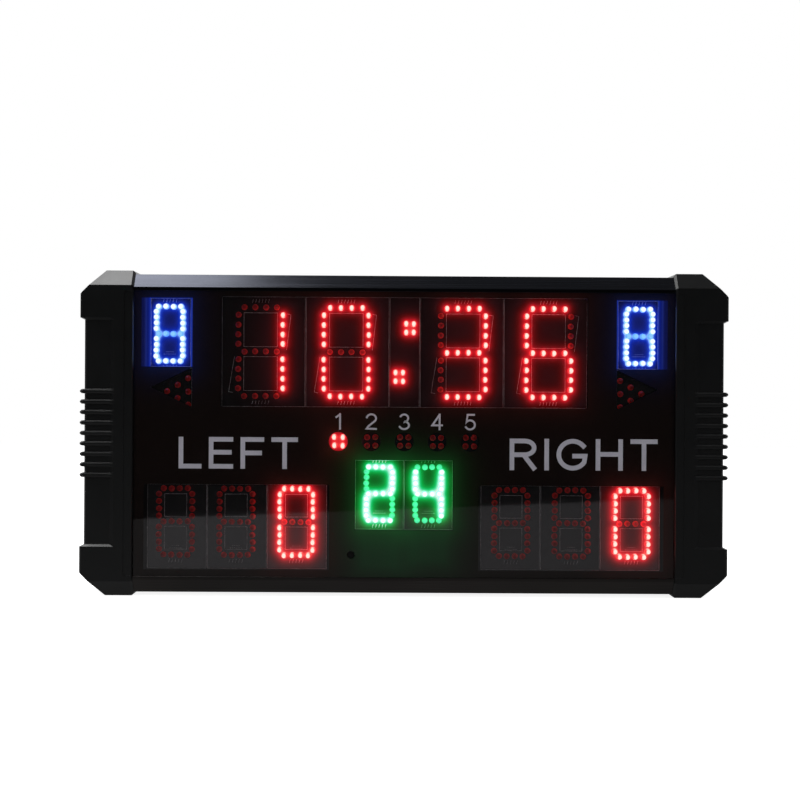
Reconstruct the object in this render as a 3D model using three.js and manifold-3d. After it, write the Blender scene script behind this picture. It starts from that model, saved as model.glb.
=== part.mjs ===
// Electronic scoreboard of the table and wall kind: two extruded rails between two moulded end caps,
// with a smoked front panel over modules of 5 mm light-emitting diodes.
// Units are millimetres. +X runs to a spectator's right, -Y is the front and +Z is up.
// The origin is the middle of the footprint, on the surface that the end caps stand on.

import * as THREE from 'three';
import { mergeVertices } from 'three/addons/utils/BufferGeometryUtils.js';
import Module from 'manifold-3d';

const wasm = await Module();
wasm.setup();

// Whole case
const caseWidth = 645;
const caseHeight = 325;
const caseDepth = 90;

// Clearance between pieces that touch, and how far a cut runs past the piece that it cuts
const fitGap = 0.3;
const cutOverrun = 2;

// Moulded end caps
const capWidth = 53;
const capWall = 3;
const capFrontBevel = 15.3;
const capFlankBevel = 2;
const capCornerWidth = 24;
const capCornerHeight = 24;
const capRearBevel = 3;
const capRimRise = 3.7;
const capRimLead = 2.5;
const capRimChamferWidth = 2.4;
const capRimChamferDepth = 2.2;
const capBandWidth = 9.4;
const capBandDepth = 0.7;
const capBandEnd = 6;
const flankRecess = 4.3;
const flankLedge = 2.2;
const frontRecess = 2.4;
const frontRecessLead = 33.8;
const frontRecessSlope = 4;
const lowerBlockHeight = 52;
const upperBlockHeight = 50;
const ribCount = 9;
const ribPitch = 10.4;
const ribThickness = 4.8;
const ribRound = 1.4;
const ribDraft = 0.3;
const capBossRadius = 5;

// Frame rails, one aluminium section used above and below
const railWall = 1.8;
const railLipHeight = 3.4;
const railBevel = 13.2;
const railRearBevel = 1.6;
const railInsertion = 15.2;
const railRearRoom = 6;
const screwPortWall = 1.9;
const screwPortDrop = 28.8;
const frontPortLead = 11.8;
const rearPortInset = 14;

// Sheets and what lies between them, from the front to the back
const frontPanelThickness = 3;
const ledTipClearance = 1.4;
const ledHeight = 8;
const ledDomeHeight = 1.8;
const ledRadius = 2.5;
const boardThickness = 1.6;
const boardGap = 0.3;
const pillarLength = 9.1;
const pillarWidth = 4.5;
const pillarInset = 4;
const trayThickness = 2.2;
const backPanelThickness = 2;
const backPanelEngagement = 3.3;

// LED digits: half sizes to the lamp centres, lamp pitches, and the board's margins round the lamp centres.
// A digit stands off the middle of its board by the spread share of that middle's distance from the case's.
// The time and score boards share out the width beside the other modules, so they have no side margin.
const ledsPerSegment = 4;
const timeDigit = {
  halfWidth: 22.3, halfHeight: 44.4, rowPitch: 10.8, columnPitch: 9.7,
  topMargin: 10.9, bottomMargin: 10.9, spreadShare: 0.021,
};
const scoreDigit = {
  halfWidth: 16.6, halfHeight: 33.2, rowPitch: 8, columnPitch: 7.35,
  topMargin: 4.6, bottomMargin: 14, spreadShare: 0.006,
};
const shotDigit = {
  halfWidth: 13, halfHeight: 26.6, rowPitch: 7.3, columnPitch: 5.6,
  topMargin: 7, bottomMargin: 9.5, sideMargin: 11.4, spreadShare: 0,
};
const foulDigit = {
  halfWidth: 13.1, halfHeight: 27.2, rowPitch: 7.3, columnPitch: 5.8,
  topMargin: 8.4, bottomMargin: 5.9, sideMargin: 7.1, spreadShare: 0.004,
};
const colon = {
  boardWidth: 30.4, pitchAcross: 7.4, pitchUp: 8.6, clusterRise: 24.5, clusterLean: 5.2,
};
const arrow = {
  boardWidth: 41.8, boardHeight: 40, columnPitch: 10.6, rowPitch: 13.2, baseInset: 3.8, drop: 4,
};
const period = {
  boardWidth: 160, boardHeight: 24, lampPitch: 8.4, endMargin: 14.2,
};
const clusterCount = 5;
const scoreDigitCount = 3;

// Margins between the modules across the panel, and what lies above each one as a share of the free height:
// time, period and shot clock in the middle, then foul, arrow and score at each side
const sideMargin = 15.1;
const scoreMargin = 12.5;
const timeOuterGap = 30.8;
const scoreInnerGap = 28;
const middleGapShares = [0.094, 0.254, 0.075];
const sideGapShares = [0.107, 0.007, 0.783];

// Infrared eye, its small board and its hole in the front panel
const eyeRadius = 3.4;
const eyeRecess = 0.6;
const eyeBoardWidth = 16;
const eyeBoardHeight = 14;
const eyeRise = 25.4;

// Back panel openings
const ventCount = 8;
const ventWidth = 3;
const ventHeight = 36;
const ventPitch = 9;
const ventMargin = 51.5;
const ventDrop = 77.5;
const hornSlotCount = 5;
const hornSlotWidth = 2.6;
const hornSlotHeight = 22;
const hornSlotPitch = 6;

// Control board, in front of the back panel on standoffs
const controlWidth = 190;
const controlHeight = 85;
const controlRise = -14;
const standoffLength = 6;
const standoffRadius = 3.2;
const controlHoleInset = 5;
const chipWidth = 20;
const chipHeight = 12;
const chipThickness = 3;
const driverCount = 6;
const driverWidth = 10;
const driverHeight = 5;
const driverThickness = 2;
const driverPitch = 16;
const driverDrop = 2;
const capacitorRadius = 5;
const capacitorLength = 14;
const capacitorPitch = 14;
const capacitorX = -45;
const capacitorInset = 18.5;
const plugBlockWidth = 14;
const plugBlockHeight = 9;
const plugBlockLength = 8;
const headerWidth = 17;
const headerThickness = 6;
const headerLength = 9;
const sideHeaderMargin = 0.5;
const sideHeaderInset = 12.5;
const topHeaderInset = 10.5;

// Horn
const hornRadius = 22;
const hornLength = 18;
const hornStep = 3;
const hornMargin = 99.5;

// DC inlet and its nut
const inletMargin = 44.5;
const connectorRise = 53;
const inletBarrelRadius = 4;
const inletFlangeRadius = 6;
const inletFlangeLength = 2;
const inletBodyLength = 14;
const inletTailRadius = 3;
const inletTailLength = 4;
const inletBoreRadius = 3.1;
const inletBoreDepth = 10;
const inletPinRadius = 1;
const inletPinRecess = 1;
const inletNutRadius = 6.6;
const inletNutThickness = 2.4;

// Rocker switch
const switchPitch = 35;
const bezelSideLip = 1.1;
const bezelEndLip = 1;
const bezelThickness = 1.6;
const switchSideWall = 1.3;
const switchEndWall = 0.7;
const switchBodyDepth = 12;
const rockerWidth = 9.6;
const rockerRadius = 8.5;
const rockerPivotSink = 3;
const rockerSole = 2.2;
const rockerCrown = 3.1;
const rockerTipAngle = 32;
const rockerTilt = 10;
const rockerSoleClearance = 0.6;
const rockerAxleRadius = 1;
const rockerAxleLength = 0.8;
const terminalWidth = 4.8;
const terminalThickness = 0.8;
const terminalLength = 7;
const terminalSpread = 4.5;

// Hanging brackets with their pivot screws and nuts
const hangerMargin = 79.5;
const hangerThickness = 2;
const hangerEndRadius = 8;
const keyholeReach = 22;
const keyholeRadius = 4.5;
const keySlotReach = 30;
const keySlotWidth = 5;
const pivotShankRadius = 2.4;
const pivotHeadRadius = 4.8;
const pivotHeadThickness = 2.4;
const pivotNutWidth = 8.4;
const pivotNutThickness = 2;

// Case screws and control board screws
const capScrewShankRadius = 1.7;
const capScrewHeadRadius = 3.8;
const capScrewHeadThickness = 2.6;
const capScrewSink = 3.8;
const capScrewEngagement = 14;
const boardScrewShankRadius = 1.3;
const boardScrewHeadRadius = 2.7;
const boardScrewHeadThickness = 1.8;
const boardScrewLength = 5;
const crossWidth = 1;
const crossDepth = 1.2;
const crossReachShare = 0.62;

// Internal leads and ribbons
const leadRadius = 2;
const signalLeadRadius = 1.6;
const ribbonWidth = 14;
const ribbonThickness = 1.2;
const trayHoleMargin = 1.5;

// Facets of round shapes
const ledSides = 5;
const screwSides = 8;
const roundSides = 12;
const hornSides = 20;
const leadSides = 8;
const leadSteps = 12;
const ribbonSteps = 12;
const arcSteps = 6;

// Places that follow from the sizes above. Depths count back from the caps' front face and heights
// from the middle of the case.
const halfWidth = caseWidth / 2;
const halfHeight = caseHeight / 2;
const capInner = halfWidth - capWidth;
const railHalfHeight = halfHeight - capRimRise;
const railBevelStart = railHalfHeight - railBevel;
const lipEdge = railBevelStart - railLipHeight;
const railHalfLength = capInner + railInsertion;
const railRear = caseDepth - railRearRoom;
const sheetHalfLength = railHalfLength - fitGap;
const bevelSlack = Math.SQRT2 - 1;
const frontPanelFront = capRimLead + railWall + fitGap;
const frontPanelBack = frontPanelFront + frontPanelThickness;
const frontPanelHalfHeight = railBevelStart - railWall * bevelSlack - fitGap;
const ledTipDepth = frontPanelBack + ledTipClearance;
const boardFront = ledTipDepth + ledHeight;
const boardBack = boardFront + boardThickness;
const pillarEnd = boardBack + fitGap;
const trayFront = pillarEnd + pillarLength;
const trayBack = trayFront + trayThickness;
const roofHalfHeight = railHalfHeight - railWall;
const backPanelBack = railRear - railWall - fitGap;
const backPanelFront = backPanelBack - backPanelThickness;
const backPanelHalfHeight = lipEdge + backPanelEngagement;
const pivotHeight = backPanelHalfHeight + fitGap + pivotNutWidth / 2;
const screwPortHeight = railHalfHeight - screwPortDrop;
const frontPortDepth = trayBack + frontPortLead;
const rearPortDepth = railRear - rearPortInset;
const controlBack = backPanelFront - standoffLength - fitGap;
const controlFront = controlBack - boardThickness;
const outsideFace = backPanelBack + fitGap;
const switchBodyHalfWidth = rockerWidth / 2 + fitGap + switchSideWall;
const switchBodyHalfHeight = rockerRadius + fitGap + switchEndWall;
const connectorHeight = connectorRise - backPanelHalfHeight;
const inletX = inletMargin - capInner;
const switchX = inletX + switchPitch;
const hornX = capInner - hornMargin;
const hangerX = capInner - hangerMargin;
const ventGroupCentre = capInner - ventMargin;
const ventRowHeight = backPanelHalfHeight - ventDrop;

// Radius of a faceted hole whose flats clear a round piece by the fit gap
function boreRadius(radius, sides) {
  return (radius + fitGap) / Math.cos(Math.PI / sides);
}

// Directions from a rectangle's middle to its corners
const corners = [[-1, -1], [-1, 1], [1, -1], [1, 1]];

// Middle-based positions of a row of equal steps
function rowOf(count, pitch) {
  return Array.from({ length: count }, (_, index) => (index - (count - 1) / 2) * pitch);
}

// Turns a shape drawn in two axes and extruded along the third into the case's axes
function orient(geometry, axis, start) {
  const xUnit = new THREE.Vector3(1, 0, 0);
  const yUnit = new THREE.Vector3(0, 1, 0);
  const zUnit = new THREE.Vector3(0, 0, 1);
  const turn = new THREE.Matrix4();
  if (axis === 'x') {
    turn.makeBasis(yUnit, zUnit, xUnit).setPosition(start, 0, 0);
  } else if (axis === 'y') {
    turn.makeBasis(xUnit, zUnit, yUnit.clone().negate()).setPosition(0, start, 0);
  } else {
    turn.setPosition(0, 0, start);
  }
  return geometry.applyMatrix4(turn);
}

// Straight prism. The outline is (y, z) along x, (x, z) along y and (x, y) along z.
function prism(axis, outline, start, end) {
  const shape = new THREE.Shape(outline.map(([across, up]) => new THREE.Vector2(across, up)));
  const geometry = new THREE.ExtrudeGeometry(shape, { depth: end - start, bevelEnabled: false });
  return orient(geometry, axis, axis === 'y' ? end : start);
}

function block(x0, x1, y0, y1, z0, z1) {
  const geometry = new THREE.BoxGeometry(x1 - x0, y1 - y0, z1 - z0);
  return geometry.translate((x0 + x1) / 2, (y0 + y1) / 2, (z0 + z1) / 2);
}

// Round bar along an axis. at holds its other two coordinates, in the order x, y, z.
function bar(axis, radius, start, end, at, sides) {
  const geometry = new THREE.CylinderGeometry(radius, radius, end - start, sides);
  const middle = (start + end) / 2;
  if (axis === 'x') {
    return geometry.rotateZ(-Math.PI / 2).translate(middle, at[0], at[1]);
  }
  if (axis === 'y') {
    return geometry.translate(at[0], middle, at[1]);
  }
  return geometry.rotateX(Math.PI / 2).translate(at[0], at[1], middle);
}

// Skin over outlines with equal point counts, one at each station along x or z. The end outlines are convex.
function loft(axis, stations) {
  const size = stations[0].outline.length;
  const positions = stations.flatMap(
    ({ at, outline }) => outline.flatMap(([across, up]) => [across, up, at]),
  );
  const faces = [];
  for (let level = 0; level + 1 < stations.length; level += 1) {
    for (let point = 0; point < size; point += 1) {
      const next = (point + 1) % size;
      const low = level * size;
      const high = low + size;
      faces.push(low + point, low + next, high + next, low + point, high + next, high + point);
    }
  }
  const last = (stations.length - 1) * size;
  for (let point = 1; point + 1 < size; point += 1) {
    faces.push(0, point + 1, point, last, last + point, last + point + 1);
  }
  const geometry = new THREE.BufferGeometry();
  geometry.setAttribute('position', new THREE.Float32BufferAttribute(positions, 3));
  geometry.setIndex(faces);
  return orient(geometry, axis, 0);
}

// Turned piece whose profile is (radius, depth) along y, starting and ending on the axis
function turned(profile, sides) {
  const points = profile.map(([radius, along]) => new THREE.Vector2(radius, along));
  return new THREE.LatheGeometry(points, sides);
}

// Solids for cutting and joining
function solid(geometry) {
  const bare = geometry.clone();
  bare.deleteAttribute('normal');
  bare.deleteAttribute('uv');
  const merged = mergeVertices(bare);
  return new wasm.Manifold(new wasm.Mesh({
    numProp: 3,
    vertProperties: new Float32Array(merged.attributes.position.array),
    triVerts: new Uint32Array(merged.index.array),
  }));
}

function join(geometries) {
  return geometries.map(solid).reduce((whole, piece) => whole.add(piece));
}

function cut(whole, geometries) {
  return geometries.map(solid).reduce((rest, piece) => rest.subtract(piece), whole);
}

function geometryOf(whole) {
  const { vertProperties, triVerts } = whole.getMesh();
  const geometry = new THREE.BufferGeometry();
  geometry.setAttribute('position', new THREE.BufferAttribute(new Float32Array(vertProperties), 3));
  geometry.setIndex(new THREE.BufferAttribute(new Uint32Array(triVerts), 1));
  return geometry;
}

// The other hand of a piece: x changes sign and each triangle is turned over
function otherHand(geometry) {
  const twin = geometry.clone();
  const { position } = twin.attributes;
  for (let point = 0; point < position.count; point += 1) {
    position.setX(point, -position.getX(point));
  }
  const { array } = twin.index;
  for (let corner = 0; corner < array.length; corner += 3) {
    [array[corner + 1], array[corner + 2]] = [array[corner + 2], array[corner + 1]];
  }
  return twin;
}

// Finishes, by the colours of the photographed board
const finishes = {
  abs: { color: 0x1b1c1e, roughness: 0.62, metalness: 0 },
  anodised: { color: 0x1d1e21, roughness: 0.34, metalness: 0.85 },
  smokedAcrylic: { color: 0x0b0b0e, roughness: 0.06, metalness: 0 },
  paintedSheet: { color: 0x202124, roughness: 0.55, metalness: 0.2 },
  trayPlastic: { color: 0x141416, roughness: 0.7, metalness: 0 },
  redModule: { color: 0x4a1416, roughness: 0.45, metalness: 0 },
  greenModule: { color: 0x2f8a5c, roughness: 0.45, metalness: 0 },
  blueModule: { color: 0x24386e, roughness: 0.45, metalness: 0 },
  circuitBoard: { color: 0x1d4a30, roughness: 0.5, metalness: 0 },
  nylon: { color: 0x111113, roughness: 0.42, metalness: 0 },
  zincSteel: { color: 0xb4b7ba, roughness: 0.32, metalness: 1 },
  blackSteel: { color: 0x26272a, roughness: 0.4, metalness: 0.9 },
  leadJacket: { color: 0x1a1a1c, roughness: 0.5, metalness: 0 },
  ribbonJacket: { color: 0x8d9096, roughness: 0.6, metalness: 0 },
};

function mesh(name, shape, finish) {
  const geometry = shape instanceof THREE.BufferGeometry ? shape : geometryOf(shape);
  const piece = new THREE.Mesh(geometry, new THREE.MeshStandardMaterial({ ...finish, flatShading: true }));
  piece.name = name;
  return piece;
}

// Cross section of the case in (depth, height), with 45 degree bevels and every side moved out by grow
function caseSection(front, rear, top, frontBevel, rearBevel, grow) {
  const slack = grow * bevelSlack;
  const frontLow = top - frontBevel + slack;
  const frontHigh = front + frontBevel - slack;
  const rearLow = top - rearBevel + slack;
  const rearHigh = rear - rearBevel + slack;
  const upper = [
    [rear + grow, rearLow], [rearHigh, top + grow], [frontHigh, top + grow], [front - grow, frontLow],
  ];
  const lower = upper.map(([depth, height]) => [depth, -height]).reverse();
  return [...lower, ...upper];
}

function railSection(grow) {
  return caseSection(capRimLead, railRear, railHalfHeight, railBevel, railRearBevel, grow);
}

// End cap, drawn for the +X end

// Plan of the cap. Where the flank is moved in, the outer part of the front sinks into a shallow pocket.
function capPlan(inset) {
  const flank = halfWidth - inset;
  const front = frontRecess * inset / flankRecess;
  const pocketEdge = halfWidth - frontRecessLead;
  return [
    [capInner, caseDepth], [capInner, 0], [pocketEdge, 0], [pocketEdge + frontRecessSlope, front],
    [flank - capFlankBevel, front], [flank, front + capFlankBevel],
    [flank, caseDepth - capRearBevel], [flank - capRearBevel, caseDepth],
  ];
}

// Flank and front from the bottom up: lower block, recess with the grip ribs, upper block
function flankStations() {
  const stations = [
    [-halfHeight, 0],
    [-halfHeight + lowerBlockHeight - flankLedge, 0],
    [-halfHeight + lowerBlockHeight, flankRecess],
  ];
  for (const middle of rowOf(ribCount, ribPitch)) {
    const half = ribThickness / 2;
    const shoulder = half - ribDraft;
    const crest = shoulder - ribRound;
    stations.push(
      [middle - half, flankRecess], [middle - shoulder, ribRound], [middle - crest, 0],
      [middle + crest, 0], [middle + shoulder, ribRound], [middle + half, flankRecess],
    );
  }
  stations.push(
    [halfHeight - upperBlockHeight, flankRecess],
    [halfHeight - upperBlockHeight + flankLedge, 0],
    [halfHeight, 0],
  );
  return stations.map(([at, inset]) => ({ at, outline: capPlan(inset) }));
}

// Front silhouette in (x, height) with the two outer corners cut, moved in along x
function capSilhouette(inset) {
  const flank = halfWidth - inset;
  const inner = capInner - cutOverrun;
  return [
    [inner, -halfHeight], [flank - capCornerWidth, -halfHeight], [flank, -halfHeight + capCornerHeight],
    [flank, halfHeight - capCornerHeight], [flank - capCornerWidth, halfHeight], [inner, halfHeight],
  ];
}

// Side section along x, drawn in at the rim by its chamfer
function capSideBody() {
  const section = (grow) => caseSection(0, caseDepth, halfHeight, capFrontBevel, capRearBevel, grow);
  return loft('x', [
    { at: capInner, outline: section(-capRimChamferDepth) },
    { at: capInner + capRimChamferWidth, outline: section(0) },
    { at: halfWidth + cutOverrun, outline: section(0) },
  ]);
}

// Hollow that takes the rails' ends, with its front stepped back behind the pocket
function capHollow() {
  const cornerShift = capWall * Math.hypot(capCornerWidth, capCornerHeight) / capCornerHeight;
  const flank = halfWidth - flankRecess - capWall;
  const step = halfWidth - frontRecessLead - capWall;
  const stepDepth = frontRecess + capWall;
  const inner = capInner - cutOverrun;
  const plan = [
    [inner, 0], [step, 0], [step, stepDepth], [flank, stepDepth], [flank, caseDepth], [inner, caseDepth],
  ];
  const sleeve = solid(prism('x', railSection(fitGap), inner, halfWidth));
  return sleeve
    .intersect(solid(prism('z', plan, -halfHeight, halfHeight)))
    .intersect(solid(prism('y', capSilhouette(cornerShift), 0, caseDepth)));
}

// Places of a cap's four screws in (depth, height)
const capScrewPlaces = [frontPortDepth, rearPortDepth].flatMap(
  (depth) => [[depth, screwPortHeight], [depth, -screwPortHeight]],
);

function endCap() {
  const outside = solid(loft('z', flankStations()))
    .intersect(solid(prism('y', capSilhouette(0), -cutOverrun, caseDepth + cutOverrun)))
    .intersect(solid(capSideBody()));
  const bossEnd = halfWidth - flankRecess - capWall / 2;
  const bosses = capScrewPlaces.map(
    (at) => bar('x', capBossRadius, railHalfLength + fitGap, bossEnd, at, roundSides),
  );
  const shankHoles = capScrewPlaces.map(
    (at) => bar('x', boreRadius(capScrewShankRadius, screwSides), capInner, halfWidth, at, screwSides),
  );
  const headHoles = capScrewPlaces.map((at) => bar(
    'x', boreRadius(capScrewHeadRadius, roundSides), halfWidth - capScrewSink, halfWidth + cutOverrun,
    at, roundSides,
  ));
  const bandHeight = halfHeight - capFrontBevel - capBandEnd;
  const band = block(
    capInner - cutOverrun, capInner + capBandWidth, -cutOverrun, capBandDepth, -bandHeight, bandHeight,
  );
  const shell = outside.subtract(capHollow()).add(join(bosses));
  return geometryOf(cut(shell, [...shankHoles, ...headHoles, band]));
}

// Frame rail, drawn for the top and used at the bottom with side -1
function frameRail(side) {
  const span = (x0, x1, y0, y1, low, high) => (
    side > 0 ? block(x0, x1, y0, y1, low, high) : block(x0, x1, y0, y1, -high, -low)
  );
  const strip = (front, thickness, low) => span(
    -railHalfLength, railHalfLength, front, front + thickness, low, railHalfHeight,
  );
  const profile = (grow, overrun) => solid(
    prism('x', railSection(grow), -railHalfLength - overrun, railHalfLength + overrun),
  );
  const upperHalf = solid(strip(-cutOverrun, caseDepth + cutOverrun, lipEdge));
  const skin = profile(0, 0).subtract(profile(-railWall, cutOverrun)).intersect(upperHalf);
  const lips = [
    frontPanelBack + fitGap,
    trayFront - fitGap - railWall,
    trayBack + fitGap,
    backPanelFront - fitGap - railWall,
  ].map((front) => strip(front, railWall, lipEdge));
  const portRadius = boreRadius(capScrewShankRadius, screwSides);
  const portDepths = [frontPortDepth, rearPortDepth];
  const webs = portDepths.map((depth) => strip(depth - railWall / 2, railWall, screwPortHeight));
  const alongRail = (radius, overrun) => portDepths.map((depth) => bar(
    'x', radius, -railHalfLength - overrun, railHalfLength + overrun,
    [depth, side * screwPortHeight], screwSides,
  ));
  const inside = join([...lips, ...webs, ...alongRail(portRadius + screwPortWall, 0)]);
  const whole = skin.add(inside).intersect(profile(0, 0));
  return cut(whole, alongRail(portRadius, cutOverrun));
}

function topRail() {
  const holes = [-hangerX, hangerX].map((x) => bar(
    'y', boreRadius(pivotShankRadius, roundSides), railRear - railWall - fitGap, railRear + cutOverrun,
    [x, pivotHeight], roundSides,
  ));
  return cut(frameRail(1), holes);
}

function frontPanel() {
  const sheet = block(
    -sheetHalfLength, sheetHalfLength, frontPanelFront, frontPanelBack,
    -frontPanelHalfHeight, frontPanelHalfHeight,
  );
  const eyeHole = bar(
    'y', boreRadius(eyeRadius, roundSides), frontPanelFront - cutOverrun, frontPanelBack + cutOverrun,
    [eyeX, eyeHeight], roundSides,
  );
  return cut(solid(sheet), [eyeHole]);
}

// A digit with the board that carries it. The lamps' middle lies above the board's by the rise.
function withBoard(digit, boardWidth) {
  return {
    ...digit,
    boardWidth,
    boardHeight: 2 * digit.halfHeight + digit.topMargin + digit.bottomMargin,
    rise: (digit.bottomMargin - digit.topMargin) / 2,
  };
}

const shotBoard = withBoard(shotDigit, 2 * (shotDigit.halfWidth + shotDigit.sideMargin));
const foulBoard = withBoard(foulDigit, 2 * (foulDigit.halfWidth + foulDigit.sideMargin));
const shotOuterEdge = shotBoard.boardWidth + boardGap / 2;
const timeSpace = capInner - sideMargin - foulBoard.boardWidth - timeOuterGap - colon.boardWidth / 2;
const scoreSpace = capInner - scoreMargin - shotOuterEdge - scoreInnerGap + boardGap;
const timeBoard = withBoard(timeDigit, timeSpace / 2 - boardGap);
const scoreBoard = withBoard(scoreDigit, scoreSpace / scoreDigitCount - boardGap);
const colonBoard = { ...colon, boardHeight: timeBoard.boardHeight };

// Heights of the middles of stacked modules, with a share of the free height above each
function stackRows(boardHeights, gapShares) {
  const free = 2 * railBevelStart - boardHeights.reduce((sum, tall) => sum + tall, 0);
  let top = railBevelStart;
  return boardHeights.map((tall, index) => {
    top -= free * gapShares[index] + tall;
    return top + tall / 2;
  });
}

const [timeRowHeight, periodRowHeight, shotRowHeight] = stackRows(
  [timeBoard.boardHeight, period.boardHeight, shotBoard.boardHeight], middleGapShares,
);
const [foulRowHeight, arrowRowHeight, scoreRowHeight] = stackRows(
  [foulBoard.boardHeight, arrow.boardHeight, scoreBoard.boardHeight], sideGapShares,
);

// Places of the modules across the panel
const timePitch = timeBoard.boardWidth + boardGap;
const timeReach = (colon.boardWidth + timeBoard.boardWidth) / 2 + boardGap;
const timeCentres = [-timeReach - timePitch, -timeReach, timeReach, timeReach + timePitch];
const scorePitch = scoreBoard.boardWidth + boardGap;
const scoreGroupCentre = capInner - scoreMargin - (scoreDigitCount * scorePitch - boardGap) / 2;
const shotCentre = (shotBoard.boardWidth + boardGap) / 2;
const foulCentre = capInner - sideMargin - foulBoard.boardWidth / 2;
const arrowCentre = capInner - sideMargin - arrow.boardWidth / 2;
const eyeX = -(shotOuterEdge + fitGap + eyeRadius);
const eyeHeight = eyeRise - railBevelStart;

// Lamp centres of a seven segment digit, from the middle of its board at x
function digitLamps(digit, x) {
  const lamps = [];
  const lean = digit.spreadShare * x;
  for (const height of [-digit.halfHeight, 0, digit.halfHeight]) {
    for (const across of rowOf(ledsPerSegment, digit.rowPitch)) {
      lamps.push([across + lean, height + digit.rise]);
    }
  }
  for (const across of [-digit.halfWidth, digit.halfWidth]) {
    for (const middle of [-digit.halfHeight / 2, digit.halfHeight / 2]) {
      for (const step of rowOf(ledsPerSegment, digit.columnPitch)) {
        lamps.push([across + lean, middle + step + digit.rise]);
      }
    }
  }
  return lamps;
}

// Four lamps in a square about a point
function clusterLamps(x, height, pitchAcross, pitchUp) {
  return rowOf(2, pitchAcross).flatMap((across) => rowOf(2, pitchUp).map((up) => [x + across, height + up]));
}

// The colon leans to the right like the digits' italic outlines
function colonLamps() {
  return [-1, 1].flatMap((side) => clusterLamps(
    side * colon.clusterLean, side * colon.clusterRise, colon.pitchAcross, colon.pitchUp,
  ));
}

// Six lamps in a triangle that points away from the middle of the case
function arrowLamps(side) {
  const base = -arrow.boardWidth / 2 + arrow.baseInset;
  return [0, 1, 2].flatMap((column) => rowOf(3 - column, arrow.rowPitch).map(
    (up) => [side * (base + column * arrow.columnPitch), up - arrow.drop],
  ));
}

function periodLamps() {
  const clusterPitch = (period.boardWidth - 2 * period.endMargin) / (clusterCount - 1);
  return rowOf(clusterCount, clusterPitch).flatMap(
    (x) => clusterLamps(x, 0, period.lampPitch, period.lampPitch),
  );
}

// A diode stands on its board with its foot sunk to half of the board's thickness
function lampShape([x, height]) {
  const foot = -boardThickness / 2;
  const profile = [[0, foot], [ledRadius, foot], [ledRadius, ledHeight - ledDomeHeight], [0, ledHeight]];
  return turned(profile, ledSides).rotateX(Math.PI).translate(x, 0, height);
}

// Board with its diodes, drawn about the middle of the board's front face
function ledModule(size, lamps) {
  const board = block(
    -size.boardWidth / 2, size.boardWidth / 2, 0, boardThickness,
    -size.boardHeight / 2, size.boardHeight / 2,
  );
  return join([board, ...lamps.map(lampShape)]);
}

function moduleList() {
  const list = [];
  const add = (name, size, lamps, x, height, finish) => list.push({ name, size, lamps, x, height, finish });
  timeCentres.forEach((x, index) => add(
    `time_digit_${index + 1}`, timeBoard, digitLamps(timeBoard, x), x, timeRowHeight, finishes.redModule,
  ));
  add('time_colon', colonBoard, colonLamps(), 0, timeRowHeight, finishes.redModule);
  for (const [hand, side] of [['left', -1], ['right', 1]]) {
    rowOf(scoreDigitCount, scorePitch).forEach((step, index) => {
      const x = side * scoreGroupCentre + step;
      add(
        `${hand}_score_digit_${index + 1}`, scoreBoard, digitLamps(scoreBoard, x),
        x, scoreRowHeight, finishes.redModule,
      );
    });
    add(
      `${hand}_foul_digit`, foulBoard, digitLamps(foulBoard, side * foulCentre),
      side * foulCentre, foulRowHeight, finishes.blueModule,
    );
    add(
      `${hand}_possession_arrow`, arrow, arrowLamps(side),
      side * arrowCentre, arrowRowHeight, finishes.redModule,
    );
  }
  [-shotCentre, shotCentre].forEach((x, index) => add(
    `shot_clock_digit_${index + 1}`, shotBoard, digitLamps(shotBoard, x),
    x, shotRowHeight, finishes.greenModule,
  ));
  add('period_strip', period, periodLamps(), 0, periodRowHeight, finishes.redModule);
  return list;
}

const modules = moduleList();

// Infrared receiver: a small board, with an eye at one end that reaches into the front panel's hole
const eyeBoardStart = eyeX + eyeRadius - eyeBoardWidth;

function infraredReceiver() {
  const board = block(
    eyeBoardStart, eyeX + eyeRadius, boardFront, boardBack,
    eyeHeight - eyeBoardHeight / 2, eyeHeight + eyeBoardHeight / 2,
  );
  const eye = bar(
    'y', eyeRadius, frontPanelFront + eyeRecess, boardFront + boardThickness / 2,
    [eyeX, eyeHeight], roundSides,
  );
  return join([board, eye]);
}

// Ribbons and the eye's lead pass through the tray at these places, in (x, height)
const sideHeaderReach = (controlWidth - headerWidth) / 2 - sideHeaderMargin;
const scoreRibbonHeight = scoreRowHeight + scoreBoard.rise + scoreBoard.halfHeight / 2;
const ribbonPlaces = [
  [0, timeRowHeight - timeDigit.halfHeight],
  [-sideHeaderReach, scoreRibbonHeight],
  [sideHeaderReach, scoreRibbonHeight],
];

// Module tray: a moulded sheet in the rails' middle grooves, with square pillars behind every board
function moduleTray() {
  const halfTray = roofHalfHeight - fitGap;
  const sheet = block(-sheetHalfLength, sheetHalfLength, trayFront, trayBack, -halfTray, halfTray);
  const pillar = (x, height) => block(
    x - pillarWidth / 2, x + pillarWidth / 2, pillarEnd, trayFront + trayThickness / 2,
    height - pillarWidth / 2, height + pillarWidth / 2,
  );
  const cornerPillars = modules.flatMap(({ size, x, height }) => {
    const reach = size.boardWidth / 2 - pillarInset;
    const rise = size.boardHeight / 2 - pillarInset;
    return corners.map(([across, up]) => pillar(x + across * reach, height + up * rise));
  });
  const eyePillar = pillar(eyeBoardStart + pillarWidth / 2, eyeHeight);
  const margin = trayHoleMargin;
  const slots = ribbonPlaces.map(([x, height]) => block(
    x - ribbonWidth / 2 - margin, x + ribbonWidth / 2 + margin,
    trayFront - cutOverrun, trayBack + cutOverrun,
    height - ribbonThickness / 2 - margin, height + ribbonThickness / 2 + margin,
  ));
  const leadHole = bar(
    'y', signalLeadRadius + margin, trayFront - cutOverrun, trayBack + cutOverrun,
    [eyeX, eyeHeight], screwSides,
  );
  return cut(join([sheet, ...cornerPillars, eyePillar]), [...slots, leadHole]);
}

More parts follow.
